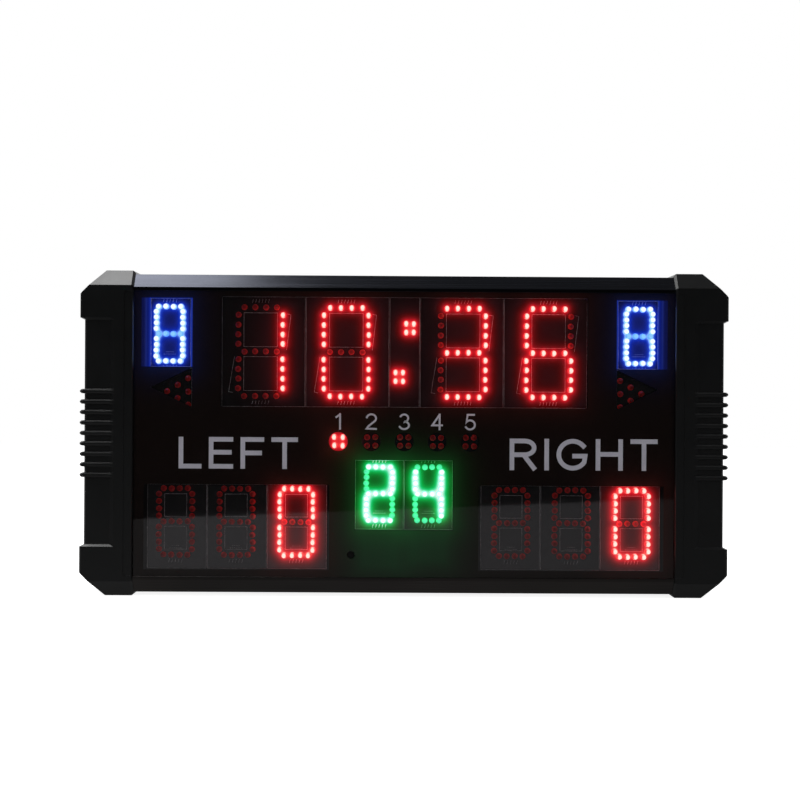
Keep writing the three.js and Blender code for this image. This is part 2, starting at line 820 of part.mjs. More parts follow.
// Standoff places of the control board in (x, height)
const controlScrewPlaces = corners.map(([across, up]) => [
  across * (controlWidth / 2 - controlHoleInset),
  controlRise + up * (controlHeight / 2 - controlHoleInset),
]);

function backPanel() {
  const sheet = block(
    -sheetHalfLength, sheetHalfLength, backPanelFront, backPanelBack,
    -backPanelHalfHeight, backPanelHalfHeight,
  );
  const standoffs = controlScrewPlaces.map((at) => bar(
    'y', standoffRadius, backPanelFront - standoffLength, backPanelFront + backPanelThickness / 2,
    at, screwSides,
  ));
  const screwHoles = controlScrewPlaces.map((at) => bar(
    'y', boreRadius(boardScrewShankRadius, screwSides), backPanelFront - standoffLength - cutOverrun,
    backPanelFront, at, screwSides,
  ));
  const slot = (x, height, width, tall) => block(
    x - width / 2, x + width / 2, backPanelFront - cutOverrun, backPanelBack + cutOverrun,
    height - tall / 2, height + tall / 2,
  );
  const vents = [-ventGroupCentre, ventGroupCentre].flatMap((middle) => rowOf(ventCount, ventPitch).map(
    (step) => slot(middle + step, ventRowHeight, ventWidth, ventHeight),
  ));
  const hornSlots = rowOf(hornSlotCount, hornSlotPitch).map(
    (step) => slot(hornX + step, connectorHeight, hornSlotWidth, hornSlotHeight),
  );
  const inletHole = bar(
    'y', boreRadius(inletBarrelRadius, roundSides), backPanelFront - cutOverrun, backPanelBack + cutOverrun,
    [inletX, connectorHeight], roundSides,
  );
  const switchHole = slot(
    switchX, connectorHeight, 2 * (switchBodyHalfWidth + fitGap), 2 * (switchBodyHalfHeight + fitGap),
  );
  return cut(join([sheet, ...standoffs]), [...screwHoles, ...vents, ...hornSlots, inletHole, switchHole]);
}

// Control board: chips and capacitors in the middle, lead blocks at its edges, ribbon headers on its face
const leadBlockFront = controlFront - plugBlockLength;
const headerFront = controlFront - headerLength;
const headerPlaces = [
  [0, controlRise + controlHeight / 2 - topHeaderInset],
  [-sideHeaderReach, controlRise - controlHeight / 2 + sideHeaderInset],
  [sideHeaderReach, controlRise - controlHeight / 2 + sideHeaderInset],
];
const powerBlockPlace = [-(controlWidth - plugBlockHeight) / 2, controlRise];
const hornBlockPlace = [(controlWidth - plugBlockHeight) / 2, controlRise];
const eyeBlockPlace = [0, controlRise - (controlHeight - plugBlockHeight) / 2];

function controlBoard() {
  const sunk = controlFront + boardThickness / 2;
  const part = ([x, height], width, tall, length) => block(
    x - width / 2, x + width / 2, controlFront - length, sunk, height - tall / 2, height + tall / 2,
  );
  const board = block(
    -controlWidth / 2, controlWidth / 2, controlFront, controlBack,
    controlRise - controlHeight / 2, controlRise + controlHeight / 2,
  );
  const drivers = rowOf(driverCount, driverPitch).map(
    (x) => part([x, controlRise - driverDrop], driverWidth, driverHeight, driverThickness),
  );
  const chipHeightAbove = controlRise + chipHeight;
  const capacitors = rowOf(2, capacitorPitch).map((step) => bar(
    'y', capacitorRadius, controlFront - capacitorLength, sunk,
    [capacitorX + step, controlRise + controlHeight / 2 - capacitorInset], screwSides,
  ));
  const parts = [
    board,
    ...drivers,
    part([0, chipHeightAbove], chipWidth, chipHeight, chipThickness),
    ...capacitors,
    part(powerBlockPlace, plugBlockHeight, plugBlockWidth, plugBlockLength),
    part(hornBlockPlace, plugBlockHeight, plugBlockWidth, plugBlockLength),
    part(eyeBlockPlace, plugBlockWidth, plugBlockHeight, plugBlockLength),
    ...headerPlaces.map((at) => part(at, headerWidth, headerThickness, headerLength)),
  ];
  const holes = controlScrewPlaces.map((at) => bar(
    'y', boreRadius(boardScrewShankRadius, screwSides), controlFront - cutOverrun, controlBack + cutOverrun,
    at, screwSides,
  ));
  return cut(join(parts), holes);
}

// Horn: a stepped drum against the back panel, in front of its sound slots
function horn() {
  const rear = backPanelFront - fitGap;
  const front = rear - hornLength;
  const profile = [
    [0, front], [hornRadius - hornStep, front], [hornRadius - hornStep, front + hornStep],
    [hornRadius, front + hornStep], [hornRadius, rear], [0, rear],
  ];
  return turned(profile, hornSides).translate(hornX, 0, connectorHeight);
}

// DC inlet along y: tail, barrel through the back panel, outer flange, bore with its centre pin
const inletTailEnd = backPanelBack - inletBodyLength - inletTailLength;

function dcInlet() {
  const outerFace = outsideFace + inletFlangeLength;
  const barrelEnd = inletTailEnd + inletTailLength;
  const profile = [
    [0, inletTailEnd], [inletTailRadius, inletTailEnd],
    [inletTailRadius, barrelEnd], [inletBarrelRadius, barrelEnd],
    [inletBarrelRadius, outsideFace], [inletFlangeRadius, outsideFace], [inletFlangeRadius, outerFace],
    [inletBoreRadius, outerFace], [inletBoreRadius, outerFace - inletBoreDepth],
    [inletPinRadius, outerFace - inletBoreDepth], [inletPinRadius, outerFace - inletPinRecess],
    [0, outerFace - inletPinRecess],
  ];
  return turned(profile, roundSides).translate(inletX, 0, connectorHeight);
}

function inletNut() {
  const rear = backPanelFront - fitGap;
  const at = [inletX, connectorHeight];
  const hexagon = bar('y', inletNutRadius, rear - inletNutThickness, rear, at, 6);
  const bore = bar(
    'y', boreRadius(inletBarrelRadius, roundSides), rear - inletNutThickness - cutOverrun, rear + cutOverrun,
    at, roundSides,
  );
  return cut(solid(hexagon), [bore]);
}

// Rocker switch, drawn about the middle of its bezel's outer face, which looks along +y
const bezelFace = outsideFace + bezelThickness;
const switchBodyBack = -bezelThickness - switchBodyDepth;
const wellHalfWidth = rockerWidth / 2 + fitGap;
const wellHalfHeight = rockerRadius + fitGap;
const rockerSoleAngle = Math.asin(rockerSole / rockerRadius);
const rockerSweep = rockerRadius * Math.sin(rockerSoleAngle + THREE.MathUtils.degToRad(rockerTilt));
const wellDepth = rockerPivotSink + rockerSweep + rockerSoleClearance;
const terminalHeights = [-terminalSpread, terminalSpread];

function switchBody() {
  const bezelReach = switchBodyHalfWidth + bezelSideLip;
  const bezelRise = switchBodyHalfHeight + bezelEndLip;
  const bezel = block(-bezelReach, bezelReach, -bezelThickness, 0, -bezelRise, bezelRise);
  const body = block(
    -switchBodyHalfWidth, switchBodyHalfWidth, switchBodyBack, -bezelThickness / 2,
    -switchBodyHalfHeight, switchBodyHalfHeight,
  );
  const terminals = terminalHeights.map((height) => block(
    -terminalWidth / 2, terminalWidth / 2,
    switchBodyBack - terminalLength, switchBodyBack + terminalThickness,
    height - terminalThickness / 2, height + terminalThickness / 2,
  ));
  const well = block(-wellHalfWidth, wellHalfWidth, -wellDepth, cutOverrun, -wellHalfHeight, wellHalfHeight);
  const axleReach = rockerWidth / 2 + rockerAxleLength + fitGap;
  const axleHole = bar(
    'x', boreRadius(rockerAxleRadius, screwSides), -axleReach, axleReach, [-rockerPivotSink, 0], screwSides,
  );
  return cut(join([bezel, body, ...terminals]), [well, axleHole]);
}

// Rocker about its pivot: round ends that sweep inside the well, a hollowed crown, two stub axles
function rocker() {
  const low = rockerSoleAngle;
  const high = THREE.MathUtils.degToRad(rockerTipAngle);
  const end = Array.from({ length: arcSteps + 1 }, (_, step) => {
    const angle = -low + (high + low) * step / arcSteps;
    return [rockerRadius * Math.sin(angle), rockerRadius * Math.cos(angle)];
  });
  const otherEnd = end.map(([depth, height]) => [depth, -height]).reverse();
  const outline = [...end, [rockerCrown, 0], ...otherEnd];
  const body = prism('x', outline, -rockerWidth / 2, rockerWidth / 2);
  const axleReach = rockerWidth / 2 + rockerAxleLength;
  const axle = bar('x', rockerAxleRadius, -axleReach, axleReach, [0, 0], screwSides);
  return join([body, axle]);
}

// Hanging bracket about its pivot, hanging down: a flat plate with a keyhole
function hangerBracket() {
  const turn = (centre, radius, from, to) => Array.from({ length: arcSteps + 1 }, (_, step) => {
    const angle = from + (to - from) * step / arcSteps;
    return [radius * Math.cos(angle), centre + radius * Math.sin(angle)];
  });
  const outline = [
    ...turn(0, hangerEndRadius, 0, Math.PI),
    ...turn(-keySlotReach, hangerEndRadius, Math.PI, 2 * Math.PI),
  ];
  const plate = prism('y', outline, 0, hangerThickness);
  const through = (radius, height) => bar(
    'y', radius, -cutOverrun, hangerThickness + cutOverrun, [0, height], roundSides,
  );
  const slot = block(
    -keySlotWidth / 2, keySlotWidth / 2, -cutOverrun, hangerThickness + cutOverrun,
    -keySlotReach, -keyholeReach,
  );
  const holes = [
    through(boreRadius(pivotShankRadius, roundSides), 0),
    through(keyholeRadius, -keyholeReach),
    through(keySlotWidth / 2, -keySlotReach),
    slot,
  ];
  return cut(solid(plate), holes);
}

// Screw about the underside of its head, with the head towards +y and a crossed recess
function screw(headRadius, headThickness, shankRadius, length) {
  const profile = [
    [0, -length], [shankRadius, -length], [shankRadius, 0], [headRadius, 0], [headRadius, headThickness],
    [0, headThickness],
  ];
  const reach = headRadius * crossReachShare;
  const floor = headThickness - crossDepth;
  const top = headThickness + cutOverrun;
  const cross = [
    block(-reach, reach, floor, top, -crossWidth / 2, crossWidth / 2),
    block(-crossWidth / 2, crossWidth / 2, floor, top, -reach, reach),
  ];
  return cut(solid(turned(profile, screwSides)), cross);
}

function pivotNut() {
  const half = pivotNutWidth / 2;
  const plate = block(-half, half, -pivotNutThickness, 0, -half, half);
  const bore = bar(
    'y', boreRadius(pivotShankRadius, roundSides), -pivotNutThickness - cutOverrun, cutOverrun,
    [0, 0], roundSides,
  );
  return cut(solid(plate), [bore]);
}

// Lead or ribbon along a smooth route
function routed(section, points, steps) {
  const route = new THREE.CatmullRomCurve3(points.map((at) => new THREE.Vector3(...at)));
  return new THREE.ExtrudeGeometry(section, { extrudePath: route, steps });
}

function roundSection(radius) {
  const corners = Array.from({ length: leadSides }, (_, index) => {
    const angle = 2 * Math.PI * index / leadSides;
    return new THREE.Vector2(radius * Math.cos(angle), radius * Math.sin(angle));
  });
  return new THREE.Shape(corners);
}

function ribbonSection() {
  const across = ribbonWidth / 2;
  const up = ribbonThickness / 2;
  return new THREE.Shape([
    new THREE.Vector2(-across, -up), new THREE.Vector2(across, -up),
    new THREE.Vector2(across, up), new THREE.Vector2(-across, up),
  ]);
}

// Routes are worked out from the pieces that they join. bend is the straight run at each end.
const bend = 8;
const switchTailEnd = bezelFace + switchBodyBack - terminalLength - fitGap;
const leadMiddle = leadBlockFront + plugBlockLength / 2;

function inletLead() {
  const start = inletTailEnd - fitGap;
  const height = connectorHeight + terminalHeights[0];
  return routed(roundSection(leadRadius), [
    [inletX, start, connectorHeight],
    [inletX, start - bend, connectorHeight],
    [(inletX + switchX) / 2, start - 2 * bend, (connectorHeight + height) / 2],
    [switchX, switchTailEnd - bend, height],
    [switchX, switchTailEnd, height],
  ], leadSteps);
}

function switchLead() {
  const height = connectorHeight + terminalHeights[1];
  const [blockX, blockHeight] = powerBlockPlace;
  const end = blockX - plugBlockHeight / 2 - fitGap;
  return routed(roundSection(leadRadius), [
    [switchX, switchTailEnd, height],
    [switchX, switchTailEnd - bend, height],
    [switchX + 2 * bend, switchTailEnd - 2 * bend, height + bend],
    [(switchX + end) / 2, leadMiddle - bend, (height + blockHeight) / 2],
    [end - bend, leadMiddle, blockHeight],
    [end, leadMiddle, blockHeight],
  ], leadSteps);
}

function hornLead() {
  const [blockX, blockHeight] = hornBlockPlace;
  const start = blockX + plugBlockHeight / 2 + fitGap;
  const end = connectorHeight + hornRadius + fitGap;
  return routed(roundSection(signalLeadRadius), [
    [start, leadMiddle, blockHeight],
    [start + bend, leadMiddle, blockHeight],
    [(start + hornX) / 2 + bend, leadMiddle, (blockHeight + end) / 2 + bend],
    [hornX, leadMiddle, end + bend],
    [hornX, leadMiddle, end],
  ], leadSteps);
}

function eyeLead() {
  const [blockX, blockHeight] = eyeBlockPlace;
  const end = blockHeight - plugBlockHeight / 2 - fitGap;
  return routed(roundSection(signalLeadRadius), [
    [eyeX, boardBack + fitGap, eyeHeight],
    [eyeX, trayBack + bend, eyeHeight],
    [(eyeX + blockX) / 2, (trayBack + leadMiddle) / 2 + bend, (eyeHeight + end) / 2],
    [blockX, leadMiddle, end - bend],
    [blockX, leadMiddle, end],
  ], leadSteps);
}

// Flat ribbon from a header of the control board to the back of a module's board
function ribbon([headerX, headerHeight], [x, height]) {
  const start = headerFront - fitGap;
  return routed(ribbonSection(), [
    [headerX, start, headerHeight],
    [headerX, start - bend, headerHeight],
    [x, trayBack + bend, height],
    [x, boardBack + fitGap, height],
  ], ribbonSteps);
}

// Assembly. The case group's origin is the middle of the caps' front face.
const scoreboard = new THREE.Group();
const caseGroup = new THREE.Group();
caseGroup.position.set(0, -caseDepth / 2, halfHeight);
scoreboard.add(caseGroup);

const capGeometry = endCap();
caseGroup.add(
  mesh('end_cap_left', otherHand(capGeometry), finishes.abs),
  mesh('end_cap_right', capGeometry, finishes.abs),
  mesh('top_rail', topRail(), finishes.anodised),
  mesh('bottom_rail', frameRail(-1), finishes.anodised),
  mesh('front_panel', frontPanel(), finishes.smokedAcrylic),
  mesh('module_tray', moduleTray(), finishes.trayPlastic),
  mesh('back_panel', backPanel(), finishes.paintedSheet),
  mesh('infrared_receiver', infraredReceiver(), finishes.circuitBoard),
  mesh('control_board', controlBoard(), finishes.circuitBoard),
  mesh('horn', horn(), finishes.nylon),
  mesh('dc_inlet', dcInlet(), finishes.nylon),
  mesh('dc_inlet_nut', inletNut(), finishes.zincSteel),
  mesh('inlet_lead', inletLead(), finishes.leadJacket),
  mesh('switch_lead', switchLead(), finishes.leadJacket),
  mesh('horn_lead', hornLead(), finishes.leadJacket),
  mesh('infrared_lead', eyeLead(), finishes.leadJacket),
  mesh('time_ribbon', ribbon(headerPlaces[0], ribbonPlaces[0]), finishes.ribbonJacket),
  mesh('left_score_ribbon', ribbon(headerPlaces[1], ribbonPlaces[1]), finishes.ribbonJacket),
  mesh('right_score_ribbon', ribbon(headerPlaces[2], ribbonPlaces[2]), finishes.ribbonJacket),
);

for (const { name, size, lamps, x, height, finish } of modules) {
  const piece = mesh(name, ledModule(size, lamps), finish);
  piece.position.set(x, boardFront, height);
  caseGroup.add(piece);
}

// Cap screws point outwards, so they are turned about z to face +x or -x
const capScrewUnderHead = halfWidth - capScrewSink + fitGap;
const capScrewLength = capScrewUnderHead - railHalfLength + capScrewEngagement;
for (const [hand, side] of [['left', -1], ['right', 1]]) {
  capScrewPlaces.forEach(([depth, height], index) => {
    const shape = screw(capScrewHeadRadius, capScrewHeadThickness, capScrewShankRadius, capScrewLength);
    const piece = mesh(`${hand}_cap_screw_${index + 1}`, shape, finishes.blackSteel);
    piece.position.set(side * capScrewUnderHead, depth, height);
    piece.rotation.z = -side * Math.PI / 2;
    caseGroup.add(piece);
  });
}

// Control board screws drive in from the front, so they are turned to face -y
controlScrewPlaces.forEach(([x, height], index) => {
  const shape = screw(
    boardScrewHeadRadius, boardScrewHeadThickness, boardScrewShankRadius, boardScrewLength,
  );
  const piece = mesh(`control_board_screw_${index + 1}`, shape, finishes.zincSteel);
  piece.position.set(x, controlFront - fitGap, height);
  piece.rotation.z = Math.PI;
  caseGroup.add(piece);
});

// Rocker switch, at rest with its upper end pressed in
const switchGroup = new THREE.Group();
switchGroup.position.set(switchX, bezelFace, connectorHeight);
const rockerPiece = mesh('switch_rocker', rocker(), finishes.nylon);
rockerPiece.position.set(0, -rockerPivotSink, 0);
rockerPiece.rotation.x = THREE.MathUtils.degToRad(rockerTilt);
switchGroup.add(mesh('switch_body', switchBody(), finishes.nylon), rockerPiece);
caseGroup.add(switchGroup);

// Hanging brackets behind the top rail, with their screws and nuts
for (const [hand, side] of [['left', -1], ['right', 1]]) {
  const hanger = new THREE.Group();
  hanger.position.set(side * hangerX, railRear + fitGap, pivotHeight);
  const pivotScrewLength = hangerThickness + railWall + pivotNutThickness + 4 * fitGap;
  const pivotScrew = mesh(
    `${hand}_hanger_screw`,
    screw(pivotHeadRadius, pivotHeadThickness, pivotShankRadius, pivotScrewLength),
    finishes.zincSteel,
  );
  pivotScrew.position.set(0, hangerThickness + fitGap, 0);
  const nut = mesh(`${hand}_hanger_nut`, pivotNut(), finishes.zincSteel);
  nut.position.set(0, -railWall - 2 * fitGap, 0);
  hanger.add(mesh(`${hand}_hanger_bracket`, hangerBracket(), finishes.zincSteel), pivotScrew, nut);
  caseGroup.add(hanger);
}

export default scoreboard;
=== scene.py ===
"""Looks of an electronic scoreboard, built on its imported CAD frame.

Sizes in the classes are millimetres and the scene is in metres. +X runs to a spectator's right, the
front looks along -Y and +Z is up. The board stands on the floor at z = 0.
"""

import logging
import math
import random
from dataclasses import dataclass, field
from enum import Enum
from typing import Callable, Iterable, Sequence

import bmesh
import bpy
import numpy as np
from mathutils import Matrix, Vector
from mathutils.geometry import tessellate_polygon


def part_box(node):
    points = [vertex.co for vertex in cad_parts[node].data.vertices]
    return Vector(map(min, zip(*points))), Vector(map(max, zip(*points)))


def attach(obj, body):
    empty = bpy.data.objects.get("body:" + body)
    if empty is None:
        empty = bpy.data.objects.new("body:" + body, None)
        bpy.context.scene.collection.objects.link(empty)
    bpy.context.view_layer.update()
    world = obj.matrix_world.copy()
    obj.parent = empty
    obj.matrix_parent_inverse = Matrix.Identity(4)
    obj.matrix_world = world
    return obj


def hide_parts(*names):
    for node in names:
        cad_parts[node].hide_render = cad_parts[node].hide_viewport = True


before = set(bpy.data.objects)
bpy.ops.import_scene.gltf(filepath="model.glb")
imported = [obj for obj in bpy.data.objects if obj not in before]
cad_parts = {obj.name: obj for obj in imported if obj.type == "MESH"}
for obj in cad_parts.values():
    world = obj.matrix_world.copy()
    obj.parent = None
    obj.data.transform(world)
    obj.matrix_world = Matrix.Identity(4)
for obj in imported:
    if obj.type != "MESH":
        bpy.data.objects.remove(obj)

LOG = logging.getLogger("scoreboard")
MM = 0.001
# The smoked sheet takes a third of the light, so what glows behind it glows this much stronger.
SHEET_LOSS = 1.5
NODES: dict[str, bpy.types.Object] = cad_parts

Colour = tuple[float, float, float, float]
Point = tuple[float, float, float]
Flat = tuple[float, float]
Stops = tuple[tuple[float, str], ...]
Glow = Callable[[float, float], float]
Tree = bpy.types.NodeTree
Socket = bpy.types.NodeSocket

WHITE: Colour = (1.0, 1.0, 1.0, 1.0)
# In the mesh of a carried-over solid, points this close in millimetres are one, and faces within this
# many degrees are one plane. Edges shorter than this many millimetres stay sharp.
WELD = 0.002
ONE_PLANE = 0.6
SHORTEST_EDGE = 1.0
# Degrees between faces over which the shading breaks, on a drafted piece and on a rounded solid.
DRAFT_SHARP = 40.0
ROUNDED_SHARP = 50.0
# Least cosine of half a turn in a stroke, so that a mitre never runs out far.
MITRE_LEAST = 0.35
# The period lamps and their printed numerals share one row.
PERIOD_COUNT = 5
PERIOD_PITCH = 32.9


def linear(code: str) -> Colour:
    """Turns an sRGB hex colour to linear light, by the steps of the sRGB standard.

    Args:
        code: six hex digits, with or without a leading hash.

    Returns:
        Red, green, blue and an alpha of one.
    """
    parts = [int(code.lstrip("#")[i:i + 2], 16) / 255 for i in (0, 2, 4)]
    red, green, blue = (p / 12.92 if p <= 0.04045 else ((p + 0.055) / 1.055) ** 2.4 for p in parts)
    return red, green, blue, 1.0


def per_mm(size: float) -> float:
    """Gives the pattern scale, per metre, whose features are about size millimetres across."""
    return 1 / (size * MM)


def add_node(tree: Tree, kind: str, inputs: dict[str | int, object] | None = None,
             **settings: object) -> bpy.types.Node:
    """Adds a node with its settings and links.

    Args:
        tree: node tree that takes the node.
        kind: Blender's name of the node type.
        inputs: socket name or number to a value, or to the output socket that feeds it.
        settings: properties of the node, such as blend_type.

    Returns:
        The new node.
    """
    node = tree.nodes.new(kind)
    for name, value in settings.items():
        setattr(node, name, value)
    for key, value in (inputs or {}).items():
        if isinstance(value, Socket):
            tree.links.new(value, node.inputs[key])
        else:
            node.inputs[key].default_value = value
    return node


def colour_stops(node: bpy.types.Node, stops: Stops) -> None:
    """Sets a colour ramp's stops.

    Args:
        node: the colour ramp.
        stops: places from 0 to 1, rising, with their sRGB hex colours.
    """
    ramp = node.color_ramp
    while len(ramp.elements) < len(stops):
        ramp.elements.new(1.0)
    for element, (place, code) in zip(ramp.elements, stops):
        element.position = place
        element.color = linear(code)


@dataclass(frozen=True)
class Finish:
    """A finish: what the surface is made of and how it was made."""

    name: str

    def material(self) -> bpy.types.Material:
        """Gives this finish's material, made the first time it is asked for.

        Returns:
            The material, with its nodes.
        """
        ready = bpy.data.materials.get(self.name)
        if ready:
            return ready
        made = bpy.data.materials.new(self.name)
        made.use_nodes = True
        made.node_tree.nodes.clear()
        shader = self.surface(made.node_tree)
        add_node(made.node_tree, "ShaderNodeOutputMaterial", {"Surface": shader})
        return made

    def surface(self, tree: Tree) -> Socket:
        """Builds the shader in the tree and returns its output socket."""
        raise NotImplementedError

    def place(self, tree: Tree, stretch: Point = (1, 1, 1)) -> Socket:
        """Gives the point on the object, in metres, stretched along the axes.

        Args:
            tree: node tree of the finish.
            stretch: factor on each axis; a small one draws the pattern out along that axis.

        Returns:
            The socket with the point.
        """
        coordinates = add_node(tree, "ShaderNodeTexCoord")
        return add_node(
            tree, "ShaderNodeMapping", {"Vector": coordinates.outputs["Object"], "Scale": stretch},
        ).outputs["Vector"]

    def clouds(self, tree: Tree, size: float, low: float, high: float,
               stretch: Point = (1, 1, 1), detail: float = 2.0) -> Socket:
        """Gives a soft noise between two values.

        Args:
            tree: node tree of the finish.
            size: width of the noise's features in millimetres.
            low: value where the noise is least.
            high: value where it is most.
            stretch: factor on each axis.
            detail: how many finer layers lie on the first.

        Returns:
            The socket with the value.
        """
        # The noise seldom leaves the middle of its range, which is drawn out to the whole.
        noise = add_node(tree, "ShaderNodeTexNoise", {
            "Vector": self.place(tree, stretch), "Scale": per_mm(size), "Detail": detail,
        })
        return add_node(tree, "ShaderNodeMapRange", {
            "Value": noise.outputs["Fac"], "From Min": 0.3, "From Max": 0.7, "To Min": low, "To Max": high,
        }).outputs["Result"]

    def between(self, tree: Tree, share: Socket, first: str, second: str) -> Socket:
        """Mixes two sRGB colours by a share from 0 to 1.

        Args:
            tree: node tree of the finish.
            share: socket with the share of the second colour.
            first: hex code of the colour at 0.
            second: hex code of the colour at 1.

        Returns:
            The socket with the mixed colour.
        """
        ramp = add_node(tree, "ShaderNodeValToRGB", {"Fac": share})
        colour_stops(ramp, ((0.0, first), (1.0, second)))
        return ramp.outputs["Color"]


@dataclass(frozen=True)
class MouldedPlastic(Finish):
    """Injection moulded plastic whose mould was spark eroded, so that it is evenly and finely grained."""

    low_colour: str
    high_colour: str
    roughness: float
    ior: float = 1.53
    grain: float = 0.6
    grain_depth: float = 0.02
    flow_size: float = 45.0
    gloss_spread: float = 0.03

    def surface(self, tree: Tree) -> Socket:
        """Builds fine grain, faint flow clouds and hand marks in the gloss.

        Args:
            tree: node tree of the finish.

        Returns:
            The shader's output socket.
        """
        # The real grain is about 0.1 mm; it is drawn coarser, so that the render can show its soft sheen.
        grain = self.clouds(tree, self.grain, 0, 1, detail=3)
        flow = self.clouds(tree, self.flow_size, 0, 1, detail=4)
        glossy, dull = self.roughness - self.gloss_spread, self.roughness + self.gloss_spread
        marks = self.clouds(tree, self.flow_size / 3, glossy, dull)
        bump = add_node(tree, "ShaderNodeBump", {
            "Strength": 0.3, "Distance": self.grain_depth * MM, "Height": grain,
        })
        return add_node(tree, "ShaderNodeBsdfPrincipled", {
            "Base Color": self.between(tree, flow, self.low_colour, self.high_colour),
            "Roughness": marks, "IOR": self.ior, "Normal": bump.outputs["Normal"],
        }).outputs["BSDF"]


@dataclass(frozen=True)
class LitTray(MouldedPlastic):
    """The tray's plastic; beside the foul boards it is lit by their lamps and shows its steps."""

    # The light lies ahead of the back limit, beyond the side limit and above the low one, in millimetres.
    back_limit: float = -16.0
    side_limit: float = 205.0
    low_limit: float = 220.0
    # Its bands start at this distance from the middle and are this wide together.
    start: float = 254.4
    width: float = 9.0
    bands: Stops = (
        (0.0, "#1c34a0"), (0.24, "#1c34a0"), (0.3, "#0b1c7c"), (0.52, "#081663"),
        (0.62, "#142270"), (0.72, "#162267"), (0.82, "#0c1450"), (1.0, "#080e40"),
    )

    def surface(self, tree: Tree) -> Socket:
        """Builds the plastic and adds the light in upright bands outside the boards.

        Args:
            tree: node tree of the finish.

        Returns:
            The shader's output socket.
        """
        plastic = super().surface(tree)
        point = add_node(tree, "ShaderNodeSeparateXYZ", {"Vector": self.place(tree)})
        side = add_node(tree, "ShaderNodeMath", {0: point.outputs["X"]}, operation="ABSOLUTE")
        share = add_node(tree, "ShaderNodeMapRange", {
            "Value": side.outputs["Value"],
            "From Min": self.start * MM, "From Max": (self.start + self.width) * MM,
        })
        bands = add_node(tree, "ShaderNodeValToRGB", {"Fac": share.outputs["Result"]})
        colour_stops(bands, self.bands)
        strength: float | Socket = SHEET_LOSS
        for place, limit, test in (
            (point.outputs["Z"], self.low_limit, "GREATER_THAN"),
            (side.outputs["Value"], self.side_limit, "GREATER_THAN"),
            (point.outputs["Y"], self.back_limit, "LESS_THAN"),
        ):
            inside = add_node(tree, "ShaderNodeMath", {0: place, 1: limit * MM}, operation=test)
            strength = add_node(tree, "ShaderNodeMath", {
                0: inside.outputs["Value"], 1: strength,
            }, operation="MULTIPLY").outputs["Value"]
        shine = add_node(tree, "ShaderNodeEmission", {
            "Color": bands.outputs["Color"], "Strength": strength,
        })
        return add_node(tree, "ShaderNodeAddShader", {
            0: plastic, 1: shine.outputs["Emission"],
        }).outputs["Shader"]


@dataclass(frozen=True)
class AnodisedExtrusion(Finish):
    """Extruded aluminium, etched and dyed black when anodised: satin metal with fine die lines along it."""

    low_colour: str
    high_colour: str
    roughness: float
    gloss_spread: float = 0.05
    line_pitch: float = 0.9
    line_depth: float = 0.01
    line_stretch: Point = (0.004, 1, 1)
    dye_size: float = 60.0
    dye_stretch: Point = (0.4, 1, 1)

    def surface(self, tree: Tree) -> Socket:
        """Builds die lines that run the whole length and a slight unevenness of the dye.

        Args:
            tree: node tree of the finish.

        Returns:
            The shader's output socket.
        """
        # Die lines are about 0.2 mm apart; they are drawn 0.9 mm apart to show at this size.
        lines = self.clouds(tree, self.line_pitch, 0, 1, stretch=self.line_stretch, detail=2)
        dye = self.clouds(tree, self.dye_size, 0, 1, stretch=self.dye_stretch, detail=3)
        glossy, dull = self.roughness - self.gloss_spread, self.roughness + self.gloss_spread
        gloss = self.clouds(tree, self.line_pitch, glossy, dull, stretch=self.line_stretch)
        bump = add_node(tree, "ShaderNodeBump", {
            "Strength": 0.25, "Distance": self.line_depth * MM, "Height": lines,
        })
        return add_node(tree, "ShaderNodeBsdfPrincipled", {
            "Base Color": self.between(tree, dye, self.low_colour, self.high_colour),
            "Metallic": 1.0, "Roughness": gloss, "Normal": bump.outputs["Normal"],
        }).outputs["BSDF"]


@dataclass(frozen=True)
class PowderCoat(Finish):
    """Sheet steel with a baked polyester powder coat: semi-matt with a fine orange peel."""

    low_colour: str
    high_colour: str
    roughness: float
    peel_size: float = 1.5
    peel_depth: float = 0.05
    tone_size: float = 80.0

    def surface(self, tree: Tree) -> Socket:
        """Builds the orange peel, at its real pitch, and broad paler patches where the coat is thin.

        Args:
            tree: node tree of the finish.

        Returns:
            The shader's output socket.
        """
        peel = self.clouds(tree, self.peel_size, 0, 1, detail=1)
        tone = self.clouds(tree, self.tone_size, 0, 1, detail=3)
        bump = add_node(tree, "ShaderNodeBump", {
            "Strength": 0.35, "Distance": self.peel_depth * MM, "Height": peel,
        })
        return add_node(tree, "ShaderNodeBsdfPrincipled", {
            "Base Color": self.between(tree, tone, self.low_colour, self.high_colour),
            "Roughness": self.roughness, "IOR": 1.5, "Normal": bump.outputs["Normal"],
        }).outputs["BSDF"]


@dataclass(frozen=True)
class PlatedSteel(Finish):
    """Stamped or headed steel with a thin plating, so it keeps the metal's satin and shows faint clouds."""

    low_colour: str
    high_colour: str
    roughness: float
    cloud_size: float = 5.0
    gloss_size: float = 3.0
    gloss_spread: Flat = (-0.07, 0.09)
    mark_pitch: float = 0.4
    mark_depth: float = 0.01
    mark_stretch: Point = (1, 1, 0.08)

    def surface(self, tree: Tree) -> Socket:
        """Builds the plating's clouds and the fine rolling marks of the strip beneath.

        Args:
            tree: node tree of the finish.

        Returns:
            The shader's output socket.
        """
        clouds = self.clouds(tree, self.cloud_size, 0, 1, detail=4)
        glossy, dull = (self.roughness + change for change in self.gloss_spread)
        gloss = self.clouds(tree, self.gloss_size, glossy, dull, detail=3)
        marks = self.clouds(tree, self.mark_pitch, 0, 1, stretch=self.mark_stretch, detail=2)
        bump = add_node(tree, "ShaderNodeBump", {
            "Strength": 0.2, "Distance": self.mark_depth * MM, "Height": marks,
        })
        return add_node(tree, "ShaderNodeBsdfPrincipled", {
            "Base Color": self.between(tree, clouds, self.low_colour, self.high_colour),
            "Metallic": 1.0, "Roughness": gloss, "Normal": bump.outputs["Normal"],
        }).outputs["BSDF"]


